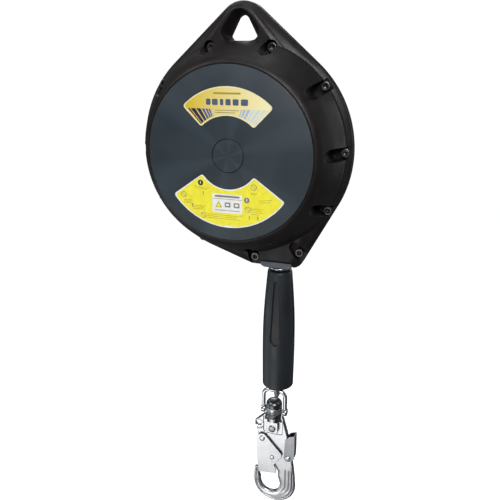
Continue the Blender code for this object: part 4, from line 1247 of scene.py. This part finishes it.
def build_hook():
    """A forged hook: flat above, a rounded bar with contour lines in the bowl, flutes down its back."""
    outline = hook_outline()
    body = slab("hook_body_forged", outline, -HOOK_HALF, HOOK_HALF, 0.0)
    bore(body, RIVET_BORE_R, RIVET.x, RIVET.z)
    bore(body, EAR_HOLE_R, *hook_point(*EAR_HOLE))
    for rivet in (GATE_RIVET, LEVER_RIVET):
        bore(body, PIVOT_BORE_R, rivet.x, rivet.z)
    cut(body, slab("slot", lock_slot(), -10, 10, 0.0))
    remeshed(body, 0.5, 3)
    co = coordinates(body)
    x, z = co[:, 0] - RIVET.x, co[:, 2] - RIVET.z
    edges = [resampled(outline, 3.0), arc(*hook_point(*EAR_HOLE), EAR_HOLE_R, 0, 345, 23)]
    d = distance_to(edges, co[:, [0, 2]])
    # the head and neck are flat with a 1 mm round edge, the bowl is a bar that thins towards its edges
    flat = HOOK_HALF - 1.0 + quarter_round(d)
    bar = HOOK_HALF * (0.30 + 0.70 * quarter_round(d / 5.6))
    lower = smooth((-56 - z) / 14)
    height = flat * (1 - lower) + bar * lower
    # contour lines run at set distances in from the bowl's back
    out = BOWL_R - np.hypot(x - BOWL[0], np.minimum(z - BOWL[1], 0))
    rim = smooth((-64 - z) / 6) * groove(out, 4.0)
    back = smooth((x - 6) / 3) * smooth((z + 104) / 12) * smooth((-62 - z) / 5)
    flutes = back * sum(groove(out, place) for place in (8.2, 13.0))
    # the head is let in a little under the clevis's cheeks, and round the ear's hole
    seat = smooth((4.0 - np.hypot(np.maximum(np.abs(x) - 9.0, 0), np.maximum(-7.0 - z, 0))) / 0.5)
    ear = smooth(7.5 - np.hypot(x - EAR_HOLE[0], z - EAR_HOLE[1]))
    height -= 1.1 * rim + 0.6 * flutes + 1.0 * seat + 1.5 * ear * (1 - seat)
    share = np.clip(np.abs(co[:, 1]) / HOOK_HALF, 0, 1)
    co[:, 1] = np.sign(co[:, 1]) * share * height
    set_coordinates(body, co)
    # Side walls and the walls of the contour grooves take the dark second slot: painted shade that deepens
    # the outlines and the contour lines.
    paint_edge_shade(body, 0.62)
    finish(body, "hook", [M["plating"], M["edge"]], "hook_body", sharp=55)


def build_gate():
    """Two cheeks beside the hook joined by a web along the mouth, with the lock pin through them."""
    cheek = arc(*about_rivet(GATE_RIVET), 6.9, 165, 43, 14)
    cheek += [(13.0, -37.3), (13.6, -41.5), (2.9, -56.6), (6.6, -64.5), (6.2, -69.2), (-18.8, -72.9),
              (-20.6, -45), (-20.7, -30)]
    cheek = hook_points(cheek, [0] * 15 + [2.5, 1.5, 1.2, 1.5, 1.0, 1.0, 10, 6])
    web = [(-20.6, -45), (-18.8, -72.9), (-17.2, -72.9), (-18.9, -45), (-19, -30), (-20.7, -30)]
    gate = channel("gate_pressed", cheek, hook_points(web, 0.3, 2), GATE_IN, GATE_OUT, 6.5, 0.6, 0.2)
    bore(gate, PIVOT_BORE_R, GATE_RIVET.x, GATE_RIVET.z)
    bore(gate, LOCK_BORE_R, LOCK_PIN.x, LOCK_PIN.z)
    # The cheeks' and web's edges and side walls take the dark second slot: painted shade drawn as outlines.
    paint_edge_shade(gate, 0.8)
    finish(gate, "gate", [M["plating"], M["edge"]], "gate")
    half = [(0, 8.3), (1.4, 8.26), (2.4, 8.1), (2.85, 7.85), (3.0, 7.6), (3.0, 7.3), (1.8, 7.3)]
    pin = lathe("gate_lock_pin_set", two_sided(half), "Y", (LOCK_PIN.x, 0, LOCK_PIN.z), 48)
    # The pin head's sides take the dark second slot: painted shade drawn as an outline.
    paint_edge_shade(pin, 0.7)
    finish(pin, "gate", [M["satin"], M["edge"]], "gate_lock_pin", sharp=40)


def build_lever():
    """A pressed channel along the spine: two cheeks joined by a back wall, its top left open."""
    cheek = [(16.8, -16.5), (21.6, -10), (29.6, -7), (29.8, -28), (29.4, -43.2), (25.5, -47.2)]
    cheek += arc(*about_rivet(LEVER_RIVET), 5, -75, -180, 16)
    cheek = hook_points(cheek, [2, 1.5, 0.6, 0, 3, 2] + [0] * 17)
    back = [hook_point(x, z) for x, z in ((28.1, -7.6), (29.6, -7), (29.8, -28), (29.5, -41), (28, -41))]
    back = rounded(back, 0.3, closed=True, steps=2)
    lever = channel("lock_lever_pressed", cheek, back, LEVER_IN, LEVER_OUT, 5.0, 0.3, 0.1)
    bore(lever, PIVOT_BORE_R, LEVER_RIVET.x, LEVER_RIVET.z, 12)
    # The edges and the back wall take the dark second slot: painted shade drawn as outlines.
    paint_edge_shade(lever, 0.8)
    finish(lever, "lever", [M["lever"], M["edge"]], "lock_lever")


# ---------------- inside

INSIDE = {
    "zinc": ["frame_plate_front", "frame_plate_rear", "frame_spacer_left", "frame_spacer_right",
             "main_shaft", "spring_case", "spring_case_cover", "spring_arbor", "drum_front_flange", "pawl_1",
             "pawl_2", "pawl_3", "ratchet_ring", "brake_backing_plate", "brake_pressure_plate"],
    "spring": ["shaft_circlip", "power_spring"],
    "drum": ["drum_spool"],
    "bronze": ["drum_bush_front", "drum_bush_rear"],
    "rope": ["wound_rope"],
    "lining": ["friction_disc_front", "friction_disc_rear"],
}


def finish_inside():
    for name, nodes in INSIDE.items():
        for node in nodes:
            obj = frame["nodes"][node]
            obj.data.materials.clear()
            obj.data.materials.append(M[name])


# ---------------- stage

def area_light(name, place, target, size, power, colour=(1, 1, 1)):
    data = bpy.data.lights.new(name, "AREA")
    data.shape = "RECTANGLE"
    data.size, data.size_y = size
    data.energy = power
    data.color = colour
    light = bpy.data.objects.new(name, data)
    bpy.context.scene.collection.objects.link(light)
    light.location = place
    light.rotation_euler = (Vector(target) - Vector(place)).to_track_quat("-Z", "Y").to_euler()
    light.visible_camera = False


def build_stage():
    """A pale closed room that sweeps up from a floor below the hanging object, with soft boxes round it."""
    steps = 96
    drop = cad_box[0].z - FLOOR_DROP
    low = cad_box[0].z - LIGHTS_DROP
    wall = ROOM_R + SWEEP_R
    profile = [(ROOM_R + SWEEP_R * sin(a), SWEEP_R - SWEEP_R * cos(a)) for a in np.linspace(0, pi / 2, 16)]
    profile += [(wall, ROOM_HEIGHT - SWEEP_R), (ROOM_R, ROOM_HEIGHT)]
    rings = [[(r * cos(2 * pi * k / steps), r * sin(2 * pi * k / steps), drop + h) for k in range(steps)]
             for r, h in profile]
    floor = skin("floor", rings)
    floor.data.materials.append(floor_finish())
    floor.data.shade_smooth()
    floor.visible_diffuse = False
    floor.visible_glossy = False
    world = bpy.data.worlds.new("room")
    bpy.context.scene.world = world
    world.use_nodes = True
    background = world.node_tree.nodes["Background"]
    background.inputs["Color"].default_value = (0.98, 0.99, 1.0, 1)
    background.inputs["Strength"].default_value = 0.10
    hub, hook = (0, 0, HUB.z), (SWIVEL_X * MM, 0, HUB.z + (RIVET.z - 60) * MM)
    area_light("front", (0.6, -1.8, 1.0), hub, (1.0, 1.0), 37)
    area_light("key", (-1.4, -1.1, 1.2), hub, (1.0, 1.0), 11)
    area_light("side", (-1.7, -0.5, -0.3), hub, (0.3, 1.6), 1.0, (0.90, 0.97, 1.0))
    cool = (0.92, 0.96, 1.0)
    area_light("above", (0.1, 0.1, 1.7), hub, (1.2, 1.2), 7, cool)
    area_light("rim", (1.3, 0.9, 0.1), hub, (0.25, 1.4), 4, cool)
    area_light("low_left", (-0.9, -0.25, low + 0.05), hub, (0.6, 0.6), 1.3, (0.80, 0.96, 1.0))
    area_light("bounce", (-0.25, -0.95, low), hook, (0.7, 0.7), 3.0)
    area_light("back", (-0.6, 1.7, 0.8), hub, (1.0, 1.0), 10)


def build_camera():
    """The camera stands a little to the right and above, looking down at the drum."""
    azimuth, elevation, roll = (radians(angle) for angle in CAMERA_ANGLES)
    back = Vector((sin(azimuth) * cos(elevation), -cos(azimuth) * cos(elevation), sin(elevation)))
    right = Vector((cos(azimuth), sin(azimuth), 0))
    up = back.cross(right)
    turned_right = right * cos(roll) + up * sin(roll)
    turned_up = up * cos(roll) - right * sin(roll)
    data = bpy.data.cameras.new("camera")
    data.lens = CAMERA_LENS
    data.sensor_width = 36.0
    data.clip_start = 0.01
    camera = bpy.data.objects.new("camera", data)
    bpy.context.scene.collection.objects.link(camera)
    turned = Matrix((turned_right, turned_up, back)).transposed().to_4x4()
    camera.matrix_world = Matrix.Translation(CAMERA_PLACE) @ turned
    bpy.context.scene.camera = camera


def main():
    build_camera()
    build_stage()
    bpy.context.scene.view_settings.view_transform = "Standard"
    build_shell("front_shell", True)
    build_shell("rear_shell", False)
    build_hub_cap("hub_cap_front", True)
    build_hub_cap("hub_cap_rear", False)
    for node in SCREW_NODES:
        build_screw(node)
    upper_label()
    lower_label()
    build_outlet()
    build_rope_lead()
    build_rope_end()
    build_grip()
    build_bow()
    build_barrel()
    build_clevis()
    build_hook()
    build_gate()
    build_lever()
    build_rivet("clevis_rivet", M["lever"])
    build_rivet("gate_rivet", M["satin"])
    build_rivet("lever_rivet", M["satin"])
    finish_inside()


main()
